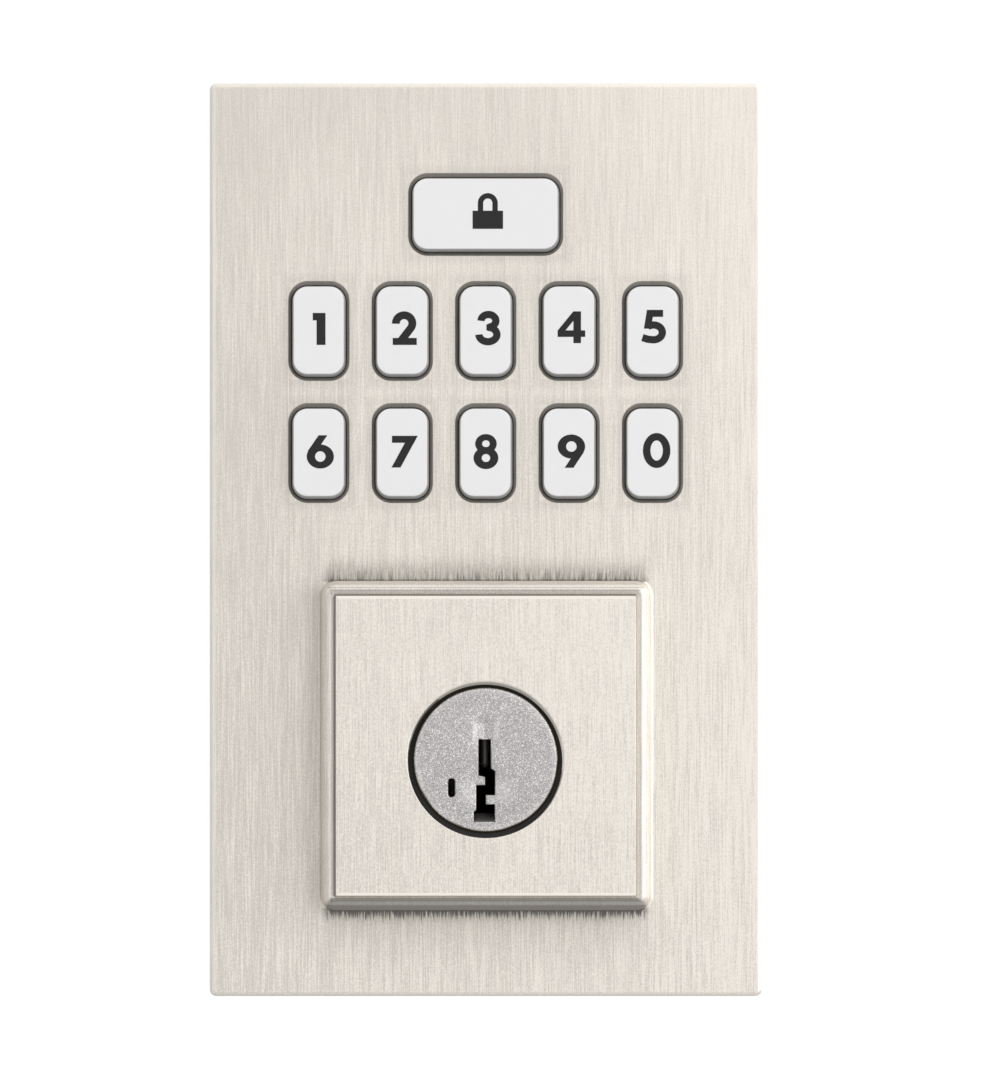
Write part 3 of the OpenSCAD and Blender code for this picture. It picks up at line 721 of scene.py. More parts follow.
def rails(path, width):
    """Both sides of a stroke of even width along a path."""
    left, right = [], []
    for i, point in enumerate(path):
        here = Vector(point)
        into = (here - Vector(path[i - 1])).normalized() if i > 0 else None
        away = (Vector(path[i + 1]) - here).normalized() if i < len(path) - 1 else into
        into = into or away
        side_in, side_out = Vector((-into.y, into.x)), Vector((-away.y, away.x))
        mitre = (side_in + side_out) / max(1.0 + side_in.dot(side_out), 0.25)
        left.append(tuple(here + mitre * width / 2))
        right.append(tuple(here - mitre * width / 2))
    return left, right


def print_strokes(skin, strokes, x, z, front, back):
    """Stands strokes, given in millimetres round x and z, on a face. Each is a hair in front of the last."""
    for layer, (left, right, closed) in enumerate(strokes):
        y = front - 0.002 * MM * layer
        shifted = [[(x + u * MM, z + v * MM) for u, v in side] for side in (left, right)]
        front_left, front_right = (skin.loop(side, y) for side in shifted)
        back_left, back_right = (skin.loop(side, back) for side in shifted)
        count = len(left)
        for i in range(count if closed else count - 1):
            j = (i + 1) % count
            skin.mesh.faces.new((front_left[i], front_right[i], front_right[j], front_left[j]))
            skin.mesh.faces.new((back_left[j], back_right[j], back_right[i], back_left[i]))
            skin.mesh.faces.new((front_left[j], back_left[j], back_left[i], front_left[i]))
            skin.mesh.faces.new((front_right[i], back_right[i], back_right[j], front_right[j]))
        if not closed:
            for i in (0, count - 1):
                skin.mesh.faces.new((front_left[i], back_left[i], back_right[i], front_right[i]))


def digit_strokes(digit):
    """Strokes of a digit, in millimetres from its key's centre."""
    return {
        "0": lambda: [ring(0.54, 0.34, (1.85, 2.36), (0.84, 1.36))],
        "1": lambda: [leg(0.3, 2.42, 0.3, -1.89, 1.2), bar(-0.81, 0.3, 1.92, 1.0)],
        "2": lambda: [
            line(arc(0.25, 1.02, 1.11, 1.09, 183, -36, 26) + [(-0.6, -1.89)], 1.05, True),
            bar(-1.28, 1.95, -1.42),
        ],
        "3": lambda: [
            line(arc(0.37, 1.36, 1.0, 0.85, 180, -90, 24)),
            line(arc(0.3, -0.49, 1.21, 0.97, 90, -180, 28)),
            bar(0.1, 0.6, 0.48, 0.84),
        ],
        "4": lambda: [
            leg(1.08, 2.63, 1.08, -1.65, 1.02),
            bar(-1.55, 2.16, -0.37, 0.88),
            leg(1.08, 2.63, -1.03, 0.05, 1.04),
        ],
        "5": lambda: [
            bar(-0.77, 1.41, 2.36),
            leg(-0.3, 2.8, -0.7, 0.3, 0.94),
            line(arc(0.12, -0.2, 1.19, 1.0, 131, -103, 28) + [(-0.62, -1.13), (-1.38, -0.9)]),
        ],
        "6": lambda: [ring(0.2, -0.47, (1.83, 1.62), (0.71, 0.71)), leg(0.56, 2.39, -0.9, 0.27)],
        "7": lambda: [bar(-1.38, 1.4, 1.85), leg(1.48, 2.32, -0.84, -1.95, 1.21)],
        "8": lambda: [
            ring(0.03, 1.25, (1.45, 1.31), (0.51, 0.47)),
            ring(0.03, -0.67, (1.67, 1.49), (0.57, 0.54)),
        ],
        "9": lambda: [ring(0.3, 0.88, (1.85, 1.62), (0.71, 0.71)), leg(1.4, 0.14, -0.02, -1.99)],
    }[digit]()


def padlock_strokes(at_z=0.45):
    """Strokes of the padlock sign: a shackle over a solid body."""
    body_w, body_h, total_h = 4.1, 2.44, 4.81
    outer_w, inner_w = 2.68, 1.24
    x, low = 0.28, at_z - total_h / 2
    line_r = (outer_w + inner_w) / 4
    bend = low + total_h - outer_w / 2
    foot = low + body_h - 0.1
    path = [(x + line_r, foot)] + arc(x, bend, line_r, line_r, 0, 180, 20) + [(x - line_r, foot)]
    body = bar(x - body_w / 2, x + body_w / 2, low + body_h / 2, body_h)
    return [line(path, (outer_w - inner_w) / 2), body]


def carved(piece, other, operation):
    """Replaces the piece's mesh with its boolean with another object, which is then removed."""
    cut = piece.modifiers.new("carve", "BOOLEAN")
    cut.operation = operation
    cut.object = other
    cut.solver = "EXACT"
    with_cut = piece.evaluated_get(bpy.context.evaluated_depsgraph_get())
    data = bpy.data.meshes.new_from_object(with_cut)
    if len(data.polygons) < len(piece.data.polygons) // 4:
        raise RuntimeError(f"{piece.name}: the {operation} with {other.name} left too little")
    old = piece.data
    piece.modifiers.clear()
    piece.data = data
    bpy.data.meshes.remove(old)
    bpy.data.objects.remove(other)
    return piece


# ---------- places taken from the frame ----------


class Places:
    """Positions that several pieces share."""

    def __init__(self, sizes):
        low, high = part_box("front_cover")
        self.left, self.right = low[0], high[0]
        self.bottom, self.top = low[2], high[2]
        self.housing_face = low[1]
        self.plate_front = low[1] + sizes.housing_rise
        self.wall_back = self.plate_front + sizes.wall
        self.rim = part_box("door_gasket")[0][1]
        self.posts_end = high[1]
        self.cap_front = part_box("key_1")[0][1]
        self.lip_back = self.wall_back + 1.2 * MM
        self.plug_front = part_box("cylinder_plug")[0][1]
        self.face_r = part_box("cylinder_plug")[1][0]
        self.hole_r = self.face_r + sizes.face_gap
        self.seal_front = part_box("cylinder_seal")[0][1]
        self.shell_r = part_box("cylinder_shell")[1][0]
        self.openings = [self.key(node, sizes.key_lip) for node in KEYS]

    def key(self, node, lip):
        """Centre and opening size of a key, from its lip's box."""
        low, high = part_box(node)
        centre = ((low[0] + high[0]) / 2, (low[2] + high[2]) / 2)
        return centre, (high[0] - low[0] - 2 * lip, high[2] - low[2] - 2 * lip)


def settings():
    """The scene's sizes and colours, and the places worked out from them."""
    scene = bpy.context.scene
    return scene.lock_sizes, scene.lock_colours, Places(scene.lock_sizes)


def dress(material, *nodes):
    """Gives CAD nodes a finish."""
    for name in nodes:
        node = frame["nodes"][name]
        if not node.material_slots:
            node.data.materials.append(None)
        for slot in node.material_slots:
            slot.material = material


# ---------- operators ----------


class LOCK_OT_cover(bpy.types.Operator):
    """Build the cast cover with its openings, square housing, posts and brushed finish"""

    bl_idname = "lock.cover"
    bl_label = "Cover"

    HOLE_LEAN = 0.26 * MM
    BEVEL_DEEP = 0.3 * MM

    def execute(self, context):
        sizes, colours, at = settings()
        nickel = satin_nickel(colours, sizes, at)
        skin = Skin()
        width, height = at.right - at.left, at.top - at.bottom
        middle = ((at.left + at.right) / 2, (at.bottom + at.top) / 2)
        outside = rounded_rect(*middle, width, height, 0.9 * MM, 5)
        stages = rolled(at.plate_front, sizes.edge_round)
        stages += [(0.0, at.rim), (sizes.wall, at.rim), (sizes.wall, at.wall_back)]
        front_edge, inner_edge = skin.sweep(outside, stages)
        front_holes, back_holes = self.openings(skin, sizes, at)
        foot, face_edge = self.housing(skin, sizes, at)
        mouth, pocket = self.cylinder_hole(skin, at)
        skin.fill(front_edge, foot, *front_holes)
        skin.fill(face_edge, mouth)
        skin.fill(inner_edge, pocket, *back_holes)
        self.posts(skin, at)
        cover = skin.built("front_cover_cast", nickel, 40.0)
        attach(cover, "housing")
        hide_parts("front_cover")
        return {"FINISHED"}

    def openings(self, skin, sizes, at):
        """Eleven openings with rolled edges. Returns their front and back loops."""
        fronts, backs = [], []
        for node in KEYS:
            outline = leaning(*at.key(node, sizes.key_lip), sizes)
            stages = [
                (-0.04 * MM, at.plate_front),
                (0.0, at.plate_front + 0.02 * MM),
                (0.08 * MM, at.plate_front + 0.08 * MM),
                (sizes.opening_lean, at.plate_front + 0.3 * MM),
            ]
            first, last = skin.sweep(outline, [*stages, (sizes.opening_lean, at.wall_back)])
            fronts.append(first)
            backs.append(last)
        return fronts, backs

    def housing(self, skin, sizes, at):
        """Foot fillet, drafted side, soft shoulder, groove and the crisp edge of the face."""
        outline = rounded_rect(0.0, sizes.housing_lift, sizes.housing_w, sizes.housing_w, 2.0 * MM, 8)
        foot = at.plate_front
        face = at.housing_face
        fillet = 0.5 * MM
        stages = [(fillet * (s - 1), foot - fillet * (1 - c)) for s, c in quarter(5)]
        draft, shoulder_in, shoulder_deep = 0.05 * MM, 1.12 * MM, 1.9 * MM
        crown = face + 0.36 * MM
        stages += [(draft + shoulder_in * (1 - c), crown + shoulder_deep * (1 - s)) for s, c in quarter(8)]
        rim = sizes.moulding_w
        stages += [
            (rim - 0.72 * MM, crown),
            (rim - 0.62 * MM, crown + 0.06 * MM),
            (rim - 0.2 * MM, crown + 0.2 * MM),
            (rim - 0.13 * MM, crown + 0.22 * MM),
            (rim - 0.02 * MM, face + 0.12 * MM),
            (rim + 0.02 * MM, face + 0.03 * MM),
            (rim + 0.1 * MM, face),
        ]
        return skin.sweep(outline, stages)

    def cylinder_hole(self, skin, at):
        """Hole with a small bright bevel, and the pocket behind it for the shell."""
        hole = circle(0.0, 0.0, at.hole_r, 128)
        pocket_out = at.hole_r - at.shell_r - 0.3 * MM
        stages = [
            (-0.28 * MM, at.housing_face),
            (-0.2 * MM, at.housing_face + 0.04 * MM),
            (0.0, at.housing_face + self.BEVEL_DEEP),
            (0.0, at.seal_front),
            (pocket_out, at.seal_front),
            (pocket_out, at.wall_back),
        ]
        first, last = skin.sweep(hole, stages)
        inner_edges = (at.seal_front, at.housing_face + self.BEVEL_DEEP)
        for vertex in skin.mesh.verts:
            near_hole = math.hypot(vertex.co.x, vertex.co.z) < at.shell_r
            if near_hole and min(abs(vertex.co.y - y) for y in inner_edges) < 0.01 * MM:
                vertex.co.z -= self.HOLE_LEAN
                vertex.co.x -= self.HOLE_LEAN / 5
        return first, last

    def posts(self, skin, at):
        """Two tapped posts for the through bolts."""
        mount = next(m for m in frame["record"]["mounts"] if m["name"] == "through_bolts")
        spacing = mount["dims"]["spacing_x_mm"] * MM
        bore = mount["dims"]["hole_r_mm"] * MM
        post_r, overlap, chamfer, mouth = 4.3 * MM, 0.1 * MM, 0.3 * MM, 0.4 * MM
        pitch, thread_depth, turns = 0.8 * MM, 0.3 * MM, 14
        for side in (-1, 1):
            outline = circle(side * spacing / 2, 0.0, post_r, 48)
            to_bore = post_r - bore
            stages = [
                (0.0, at.wall_back - overlap),
                (0.0, at.posts_end - chamfer),
                (chamfer, at.posts_end),
                (to_bore - mouth, at.posts_end),
                (to_bore, at.posts_end - mouth),
            ]
            for turn in range(turns):
                y = at.posts_end - mouth - turn * pitch
                stages += [(to_bore - thread_depth, y - 0.4 * pitch), (to_bore, y - 0.9 * pitch)]
            bottom = at.posts_end - mouth - turns * pitch
            first, last = skin.sweep(outline, [*stages, (to_bore, bottom)])
            skin.fill(last)
            skin.fill(first)


class LOCK_OT_keys(bpy.types.Operator):
    """Build the ten number keys and the wide key with their printed signs"""

    bl_idname = "lock.keys"
    bl_label = "Keys"

    FACE_LIFT = 0.2 * MM
    PRINT_PROUD = 0.02 * MM

    def execute(self, context):
        sizes, colours, at = settings()
        white = key_plastic(colours, at.cap_front)
        ink = key_ink(colours)
        for node in KEYS:
            centre, opening = at.key(node, sizes.key_lip)
            self.cap(node, centre, opening, white, sizes, at)
            strokes = padlock_strokes() if node == "key_lock" else digit_strokes(node[-1])
            sign = Skin()
            front, back = at.cap_front - self.PRINT_PROUD, at.cap_front + self.PRINT_PROUD
            print_strokes(sign, strokes, *centre, front, back)
            printed = sign.built(node + "_print", ink, 20.0)
            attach(printed, node)
        return {"FINISHED"}

    def cap(self, node, centre, opening, white, sizes, at):
        """Drafted cap with a soft edge, a lip behind the cover and a hollow back with its plunger."""
        skin = Skin()
        inset = sizes.opening_lean + sizes.cap_gap
        leant = leaning(centre, opening, sizes)

        def body(inwards):
            return leant(inset + inwards)

        shoulder = at.plate_front + 0.2 * MM
        stages = rolled(at.cap_front, sizes.cap_round, start=sizes.cap_draft, steps=4)
        out = inset + sizes.key_lip
        stages += [(0.0, shoulder), (0.0, at.wall_back), (-out, at.wall_back), (-out, at.lip_back)]
        inside = sizes.cap_draft + 1.0 * MM
        roof = at.cap_front + 1.0 * MM
        stages += [(inside, at.lip_back), (inside, roof)]
        face, ceiling = skin.sweep(body, stages)
        for vertex in skin.mesh.verts:
            if vertex.co.y < at.cap_front + 2 * sizes.cap_round:
                vertex.co.z += self.FACE_LIFT
                vertex.co.x -= self.FACE_LIFT / 5
        skin.fill(face)
        plunger_r = 0.24 * opening[0] if node != "key_lock" else 1.95 * MM
        dome_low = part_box("keypad_mat")[0][1]
        plunger = circle(*centre, plunger_r, 32)
        stages = [(0.0, roof), (0.0, dome_low - 0.3 * MM), (0.2 * MM, dome_low - 0.1 * MM)]
        root, tip = skin.sweep(plunger, stages)
        skin.fill(ceiling, root)
        skin.fill(tip)
        piece = skin.built(node + "_cap", white, 50.0)
        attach(piece, node)
        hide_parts(node)


class LOCK_OT_cylinder(bpy.types.Operator):
    """Build the plug with its blasted face, and finish the shell, pins, racks, springs and blade"""

    bl_idname = "lock.cylinder"
    bl_label = "Cylinder"

    KEYWAY = (
        (-0.92, 2.71), (-0.92, -2.1), (-0.07, -2.3), (-0.07, -3.45), (-1.25, -3.45), (-1.25, -6.8),
        (-1.56, -7.0), (-1.56, -8.3), (1.2, -8.3), (1.2, -6.05), (0.0, -6.05), (0.0, -4.75),
        (1.23, -4.75), (1.23, -1.6), (0.66, -1.2), (0.66, 2.71),
    )
    SIDE_SLOT = (-4.59 * MM, -3.78 * MM, 0.85 * MM, 2.45 * MM, 0.42 * MM)
    BLANK_GAP = 0.01 * MM

    def execute(self, context):
        _, colours, at = settings()
        blasted = blasted_plug(colours, at.plug_front)
        plug = self.face(at, blasted)
        cad_plug = bpy.data.objects.new("plug_solid", frame["nodes"]["cylinder_plug"].data.copy())
        bpy.context.scene.collection.objects.link(cad_plug)
        plug = carved(plug, cad_plug, "INTERSECT")
        plug = carved(plug, self.mouth(at), "DIFFERENCE")
        data = plug.data.copy()
        bpy.data.objects.remove(plug)
        plug = placed("plug_turned", data, blasted, 35.0)
        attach(plug, "plug")
        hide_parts("cylinder_plug")
        # Painted shade: the ramp deep in the keyway's pocket is given a near-black tint.
        dull = machined("lead_in_steel", (0.08, 0.075, 0.07), (0.8, 0.8, 6.0), 0.95, 0.9, 0.4)
        ramp = self.lead_in(at, dull)
        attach(ramp, "plug")

        # Painted shade: the pins inside the dark keyway are given a darker tint.
        pin_metal = machined("pin_metal", (0.3, 0.28, 0.25), (1.0, 1.0, 9.0), 0.2, 0.8, 0.5)
        steel = machined("spring_steel", (0.5, 0.5, 0.51), (4.0, 4.0, 4.0), 0.15, 1.0, 0.25)
        brass = machined("brass_body", colours.brass, (0.4, 7.0, 0.4), 0.16, 1.0, 0.3)
        blade = machined("plated_blade", colours.steel, (3.0, 0.2, 3.0), 0.14, 1.0, 0.34)
        numbers = range(1, 6)
        dress(pin_metal, *(f"pin_{i}" for i in numbers))
        dress(steel, *(f"rack_{i}" for i in numbers))
        for i in numbers:
            self.pin_spring(i, steel)
        dress(steel, "sidebar_springs", "plug_clip")
        dress(brass, "spring_cover", "sidebar")
        shell_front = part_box("cylinder_shell")[0][1] / MM
        # The front half millimetre of the shell is painted near black.
        shell = machined("shell_brass", colours.brass, (0.4, 7.0, 0.4), 0.16, 1.0, 0.3, shell_front + 0.5)
        dress(shell, "cylinder_shell")
        dress(blade, "torque_blade")
        dress(soft_black("seal_rubber", colours.rubber, 3.0, 0.02), "cylinder_seal")
        dress(machined("screw_zinc_small", colours.steel, (5.0, 5.0, 5.0), 0.15), "cylinder_screws")
        return {"FINISHED"}

    def pin_spring(self, number, material):
        """Coil spring with closed ends."""
        node = f"pin_spring_{number}"
        low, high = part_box(node)
        wire_r, coils, closed = 0.13 * MM, 5.0, 0.75
        radius = (high[0] - low[0]) / 2 - wire_r
        x, y = (low[0] + high[0]) / 2, (low[1] + high[1]) / 2
        bottom, top = low[2] + wire_r, high[2] - wire_r
        end_rise = 1.6 * wire_r
        skin = bmesh.new()
        rings = []
        steps, sides = 120, 10
        spokes = [math.tau * k / sides for k in range(sides)]
        for step in range(steps + 1):
            turned = coils * step / steps
            open_share = smooth(closed, coils - closed, turned)
            rise = end_rise * (min(turned, closed) + max(0.0, turned - coils + closed))
            z = bottom + rise + open_share * (top - bottom - 2 * end_rise * closed)
            turn = math.tau * turned
            outwards = Vector((math.cos(turn), math.sin(turn), 0.0))
            centre = Vector((x, y, z)) + radius * outwards
            wire = []
            for spoke in spokes:
                offset = math.cos(spoke) * outwards + Vector((0.0, 0.0, math.sin(spoke)))
                wire.append(skin.verts.new(centre + wire_r * offset))
            rings.append(wire)
        for first, second in zip(rings, rings[1:]):
            for k in range(sides):
                skin.faces.new((first[k], first[(k + 1) % sides], second[(k + 1) % sides], second[k]))
        skin.faces.new(rings[0])
        skin.faces.new(rings[-1])
        spring = placed(node + "_coil", outward(skin, node), material, 50.0)
        joint = next(j for j in frame["joints"] if j["name"] == f"lift_pin_{number}")
        keep = 1 - joint["range_m"][1] / (high[2] - low[2])
        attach(spring, "plug")
        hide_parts(node)
        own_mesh(spring)

    def dish(self, x, z):
        """Depth of the face at a point, in millimetres: a shallow V above the middle and a soft dip below."""
        v_depth = 0.34 * max(0.0, 1.0 - abs(x + 0.1) / 1.75) * smooth(6.0, 4.9, z) * smooth(0.6, 2.6, z)
        low = 0.16 * math.exp(-((x / 3.2) ** 2 + ((z + 4.4) / 2.3) ** 2))
        crown = 0.1 * (math.hypot(x, z) / 9.65) ** 4
        return v_depth + low + crown

    def rim(self, turn):
        """Share of the full radius at an angle: the edge is a little flat in places."""
        flats = ((212.0, 9.0, 0.012), (248.0, 8.0, 0.007), (352.0, 10.0, 0.006), (292.0, 7.0, 0.006))
        degrees = math.degrees(turn) % 360.0
        dents = (depth * math.exp(-(((degrees - place) / spread) ** 2)) for place, spread, depth in flats)
        return 1.0 - sum(dents)

    def face(self, at, material):
        """Solid that is larger than the plug except at its dished, round-edged face."""
        skin = Skin()
        count, rings = 144, 34
        radius = at.face_r - self.BLANK_GAP
        front = at.plug_front + self.BLANK_GAP
        edge = 0.24 * MM
        stages = [((radius - edge) * (i + 1) / rings, 0.0) for i in range(rings)]
        stages += [(radius - edge + edge * s, edge * (1 - c)) for s, c in quarter(4, 1)]
        loops = []
        for r, deep in stages:
            loop = []
            for i in range(count):
                turn = math.tau * i / count
                x, z = r * self.rim(turn) * math.cos(turn), r * self.rim(turn) * math.sin(turn)
                loop.append(skin.mesh.verts.new((x, front + deep + self.dish(x / MM, z / MM) * MM, z)))
            loops.append(loop)
        centre = skin.mesh.verts.new((0.0, front + self.dish(0.0, 0.0) * MM, 0.0))
        for i in range(count):
            skin.mesh.faces.new((centre, loops[0][i], loops[0][(i + 1) % count]))
        for first, second in zip(loops, loops[1:]):
            skin.bridge(first, second)
        lip = circle(0.0, 0.0, radius, count)
        shares = [self.rim(math.tau * i / count) for i in range(count)]
        neck_y, end_y, beyond = at.plug_front + 1.5 * MM, 20.0 * MM, 1.0 * MM
        neck = skin.loop([(share * x, share * z) for share, (x, z) in zip(shares, lip(0.0))], neck_y)
        wide = skin.loop(lip(-beyond), neck_y)
        end = skin.loop(lip(-beyond), end_y)
        skin.bridge(loops[-1], neck)
        skin.bridge(neck, wide)
        skin.bridge(wide, end)
        skin.fill(end)
        return skin.built("plug_blank", material)

    def lead_in(self, at, material):
        """Stepped ramp on the floor of the keyway's pocket, which the key's lower edge slides up on."""
        left, right, floor = -1.5 * MM, 1.14 * MM, -8.28 * MM
        front, rise, tread, steps = at.plug_front + 0.7 * MM, 0.27 * MM, 0.55 * MM, 4
        profile = [(front, floor)]
        for step in range(steps):
            y, z = front + step * tread, floor + step * rise
            profile += [(y, z + 0.8 * rise), (y + 0.06 * MM, z + rise), (y + 0.7 * tread, z + rise)]
        back = front + steps * tread + 2.0 * MM
        profile += [(back, floor + steps * rise), (back, floor)]
        ramp = bmesh.new()
        sides = [[ramp.verts.new((x, y, z)) for y, z in profile] for x in (left, right)]
        for i in range(len(profile)):
            j = (i + 1) % len(profile)
            ramp.faces.new((sides[0][i], sides[0][j], sides[1][j], sides[1][i]))
        for side in sides:
            ramp.faces.new(side)
        return placed("keyway_lead_in", outward(ramp, "keyway_lead_in"), material, 25.0)

    def mouth(self, at):
        """Cutter that breaks the edges of the keyway and of the small slot."""
        skin = Skin()
        keyway = corners([(x * MM, z * MM) for x, z in self.KEYWAY])
        slot = rounded_rect(*self.SIDE_SLOT, 6)
        for outline in (keyway, slot):
            stages = [
                (-0.3 * MM, at.plug_front - 0.2 * MM),
                (-0.1 * MM, at.plug_front + 0.06 * MM),
                (-0.015 * MM, at.plug_front + 0.32 * MM),
                (-0.012 * MM, at.plug_front + 2.0 * MM),
            ]
            first, last = skin.sweep(outline, stages)
            skin.fill(first)
            skin.fill(last)
        return skin.built("mouth_cutter", bpy.data.materials.new("cutter"))


class LOCK_OT_keypad(bpy.types.Operator):
    """Finish the guide, mat, board and the parts on it"""

    bl_idname = "lock.keypad"
    bl_label = "Keypad parts"

    SHEET = 0.9 * MM
    DOME_R = 2.97 * MM
    DOME_GAP = 0.02 * MM
    BOSS_HOLE_R = 2.75 * MM
    WINDOW = (2.6 * MM, 1.6 * MM)

    def execute(self, context):
        _, colours, at = settings()
        dress(moulded("guide_plastic", (0.72, 0.72, 0.69)), "key_guide")
        silicone = soft_black("silicone", (0.07, 0.07, 0.073), 6.0, 0.01)
        self.mat(silicone, at)
        dress(machined("dome_steel", (0.6, 0.6, 0.61), (6.0, 6.0, 6.0), 0.1, 1.0, 0.2), "snap_domes")
        dress(printed_board(colours), "circuit_board")
        dress(moulded("led_lens", (0.85, 0.8, 0.5), 0.15), "backlight_leds")
        dress(moulded("chip_black", (0.02, 0.02, 0.022), 0.5), "controller_chip", "beeper")
        dress(moulded("socket_nylon", (0.78, 0.76, 0.68), 0.45), "cable_socket")
        dress(machined("board_screw_zinc", colours.steel, (5.0, 5.0, 5.0), 0.18), "board_screws")
        return {"FINISHED"}

    def mat(self, silicone, at):
        """Silicone sheet with windows, and a dome for each key."""
        low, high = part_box("keypad_mat")
        front, back = high[1] - self.SHEET, high[1]
        centres = [centre for centre, _ in at.openings]
        skin = Skin()
        middle = ((low[0] + high[0]) / 2, (low[2] + high[2]) / 2)
        edge = rounded_rect(*middle, high[0] - low[0], high[2] - low[2], 0.6 * MM, 5)
        outlines = [circle(*centre, self.DOME_R + self.DOME_GAP, 48) for centre in centres]
        outlines += [circle(*place, self.BOSS_HOLE_R, 32) for place in self.screw_places(centres)]
        outlines += [rounded_rect(*place, *self.WINDOW, 0.2 * MM, 3) for place in self.light_places(centres)]
        rim_front, rim_back = skin.sweep(edge, [(0.15 * MM, front), (0.0, front + 0.15 * MM), (0.0, back)])
        pairs = [skin.sweep(outline, [(0.0, front), (0.0, back)]) for outline in outlines]
        skin.fill(rim_front, *(first for first, _ in pairs))
        skin.fill(rim_back, *(last for _, last in pairs))
        sheet = skin.built("silicone_sheet", silicone, 40.0)
        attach(sheet, "housing")
        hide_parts("keypad_mat")
        for node, centre in zip(KEYS, centres):
            dome = self.dome(node, centre, low[1], back, silicone)
            joint = next(j for j in frame["joints"] if j["child"] == node)
            travel = joint["range_m"][1]
            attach(dome, "housing")
            1 - travel / (back - low[1])
            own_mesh(dome)

    def screw_places(self, centres):
        """Centres of the four board screws."""
        low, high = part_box("board_screws")
        across = 1.5 * (centres[1][0] - centres[0][0])
        head_r = high[0] - across
        return [(x, z) for x in (-across, across) for z in (low[2] + head_r, high[2] - head_r)]

    def light_places(self, centres):
        """Centres of the lights: between neighbours in each row, and two behind the wide key."""
        rows = centres[:5], centres[5:10]
        pitch = centres[1][0] - centres[0][0]
        between = [((a[0] + b[0]) / 2, a[1]) for row in rows for a, b in zip(row, row[1:])]
        wide_x, wide_z = centres[-1]
        return between + [(wide_x - pitch / 2, wide_z), (wide_x + pitch / 2, wide_z)]

    def dome(self, node, centre, top, back, silicone):
        """Conical web with a thick crown, hollow below, and the nub that presses the snap dome."""
        wall, crown, soft, nub_end = 0.5 * MM, 0.7 * MM, 0.15 * MM, 0.6 * MM
        r = self.DOME_R
        to_crown, to_nub = r - 0.74 * r, r - 0.27 * r
        web_foot = back - self.SHEET
        outline = circle(*centre, r, 48)
        stages = [
            (to_crown + soft, top),
            (to_crown, top + soft),
            (0.0, web_foot),
            (0.0, back),
            (wall, back),
            (wall, web_foot),
            (to_crown + wall, top + crown),
            (to_nub, top + crown + 0.1 * MM),
            (to_nub, back - nub_end - 0.02 * MM),
            (to_nub + 0.1 * MM, back - nub_end),
        ]
        skin = Skin()
        crown_loop, nub_loop = skin.sweep(outline, stages)
        skin.fill(crown_loop)
        skin.fill(nub_loop)
        return skin.built(node + "_dome", silicone, 40.0)


class LOCK_OT_back(bpy.types.Operator):
    """Finish the back plate, its screws, the grommet and the gasket"""

    bl_idname = "lock.back"
    bl_label = "Back"

    def execute(self, context):
        _, colours, _ = settings()
        dress(machined("plated_plate", colours.steel, (0.35, 3.0, 4.5), 0.14, 1.0, 0.36), "rear_plate")
        dress(machined("plated_screw", colours.steel, (5.0, 5.0, 5.0), 0.2, 1.0, 0.28), "rear_plate_screws")
        dress(soft_black("grommet_rubber", colours.rubber, 4.0, 0.015), "cable_grommet")
        dress(soft_black("gasket_foam", (0.03, 0.03, 0.031), 2.2, 0.08), "door_gasket")
        return {"FINISHED"}


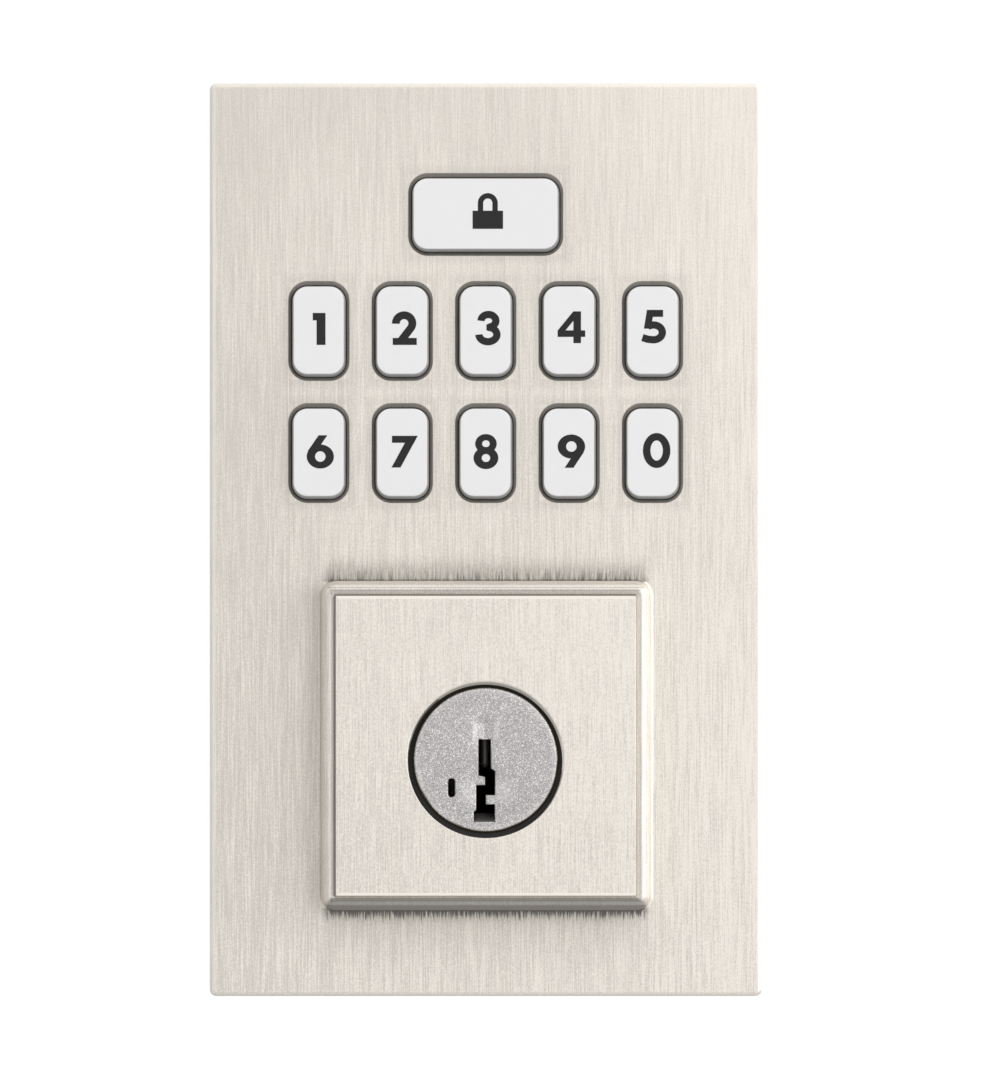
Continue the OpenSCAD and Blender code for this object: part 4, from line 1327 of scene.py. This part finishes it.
class LOCK_OT_stage(bpy.types.Operator):
    """Set the floor, the soft studio light and the camera"""

    bl_idname = "lock.stage"
    bl_label = "Stage"

    LAMP_PLACE = (1.1, -0.9, 0.3)
    LAMP_SIZE = 0.9
    LAMP_POWER = 5.0
    SENSOR = 36.0
    CAMERA_DISTANCE = 3.0
    SEEN_HEIGHT = 143.9 * MM
    CAMERA_SHIFT = (0.98 * MM, 0.77 * MM)

    def execute(self, context):
        _, _, at = settings()
        self.floor()
        self.sky()
        self.lamp(at)
        self.camera(at)
        scene = bpy.context.scene
        scene.view_settings.view_transform = "Standard"
        scene.view_settings.look = "None"
        return {"FINISHED"}

    def floor(self):
        skin = bmesh.new()
        bmesh.ops.create_circle(skin, cap_ends=True, segments=96, radius=1.6)
        bmesh.ops.translate(skin, verts=skin.verts, vec=(0.0, 0.0, -0.25))
        data = bpy.data.meshes.new("stage_floor")
        skin.to_mesh(data)
        skin.free()
        floor = bpy.data.objects.new("stage_floor", data)
        bpy.context.scene.collection.objects.link(floor)
        data.materials.append(pale_stage())

    def sky(self):
        """Even white light, a little stronger from the right and above, on a white ground."""
        world = bpy.data.worlds.new("studio")
        bpy.context.scene.world = world
        world.use_nodes = True
        tree = world.node_tree
        place = tree.nodes.new("ShaderNodeTexCoord")
        parts = tree.nodes.new("ShaderNodeSeparateXYZ")
        tree.links.new(place.outputs["Generated"], parts.inputs[0])

        def math_node(operation, *values):
            node = tree.nodes.new("ShaderNodeMath")
            node.operation = operation
            for socket, value in zip(node.inputs, values):
                if isinstance(value, bpy.types.NodeSocket):
                    tree.links.new(value, socket)
                else:
                    socket.default_value = value
            return node.outputs[0]

        lean = math_node("MULTIPLY", parts.outputs["X"], 0.3)
        lift = math_node("MULTIPLY", parts.outputs["Z"], 0.18)
        shaped = math_node("ADD", math_node("ADD", lean, lift), 0.98)
        seen = tree.nodes.new("ShaderNodeLightPath").outputs["Is Camera Ray"]
        strength = math_node("MAXIMUM", shaped, math_node("MULTIPLY", seen, 1.05))
        background = tree.nodes["Background"]
        background.inputs["Color"].default_value = (1.0, 1.0, 1.0, 1.0)
        tree.links.new(strength, background.inputs["Strength"])

    def lamp(self, at):
        """One large soft lamp to the right and above."""
        aim = Vector((0.0, at.plate_front, 0.5 * (at.top + at.bottom)))
        place = Vector(self.LAMP_PLACE)
        light = bpy.data.lights.new("lamp_right", "AREA")
        light.size = self.LAMP_SIZE
        light.energy = self.LAMP_POWER
        lamp = bpy.data.objects.new("lamp_right", light)
        lamp.location = place
        lamp.rotation_euler = (aim - place).to_track_quat("-Z", "Y").to_euler()
        bpy.context.scene.collection.objects.link(lamp)

    def camera(self, at):
        """Straight in front, from far enough away that lines stay parallel."""
        data = bpy.data.cameras.new("front_camera")
        data.sensor_width = self.SENSOR
        data.lens = self.SENSOR * self.CAMERA_DISTANCE / self.SEEN_HEIGHT
        data.clip_end = 20.0
        camera = bpy.data.objects.new("front_camera", data)
        across, up = self.CAMERA_SHIFT
        centre = (at.top + at.bottom) / 2
        camera.location = (across, at.plate_front - self.CAMERA_DISTANCE, centre + up)
        camera.rotation_euler = (math.pi / 2, 0.0, 0.0)
        bpy.context.scene.collection.objects.link(camera)
        bpy.context.scene.camera = camera


class LOCK_PT_panel(bpy.types.Panel):
    """Lists the builders in the order they run"""

    bl_idname = "LOCK_PT_panel"
    bl_label = "Keypad Lock"
    bl_space_type = "VIEW_3D"
    bl_region_type = "UI"
    bl_category = "Lock"

    def draw(self, context):
        for operator in OPERATORS:
            self.layout.operator(operator.bl_idname)
        for group in (context.scene.lock_sizes, context.scene.lock_colours):
            for name in group.__annotations__:
                self.layout.prop(group, name)


OPERATORS = (LOCK_OT_cover, LOCK_OT_keys, LOCK_OT_cylinder, LOCK_OT_keypad, LOCK_OT_back, LOCK_OT_stage)
CLASSES = (LockSizes, LockColours, *OPERATORS, LOCK_PT_panel)


def register():
    for cls in CLASSES:
        bpy.utils.register_class(cls)
    bpy.types.Scene.lock_sizes = PointerProperty(type=LockSizes)
    bpy.types.Scene.lock_colours = PointerProperty(type=LockColours)


def unregister():
    del bpy.types.Scene.lock_colours
    del bpy.types.Scene.lock_sizes
    for cls in reversed(CLASSES):
        bpy.utils.unregister_class(cls)


def main():
    register()
    bpy.ops.lock.cover()
    bpy.ops.lock.keys()
    bpy.ops.lock.cylinder()
    bpy.ops.lock.keypad()
    bpy.ops.lock.back()
    bpy.ops.lock.stage()


if __name__ == "__main__":
    main()
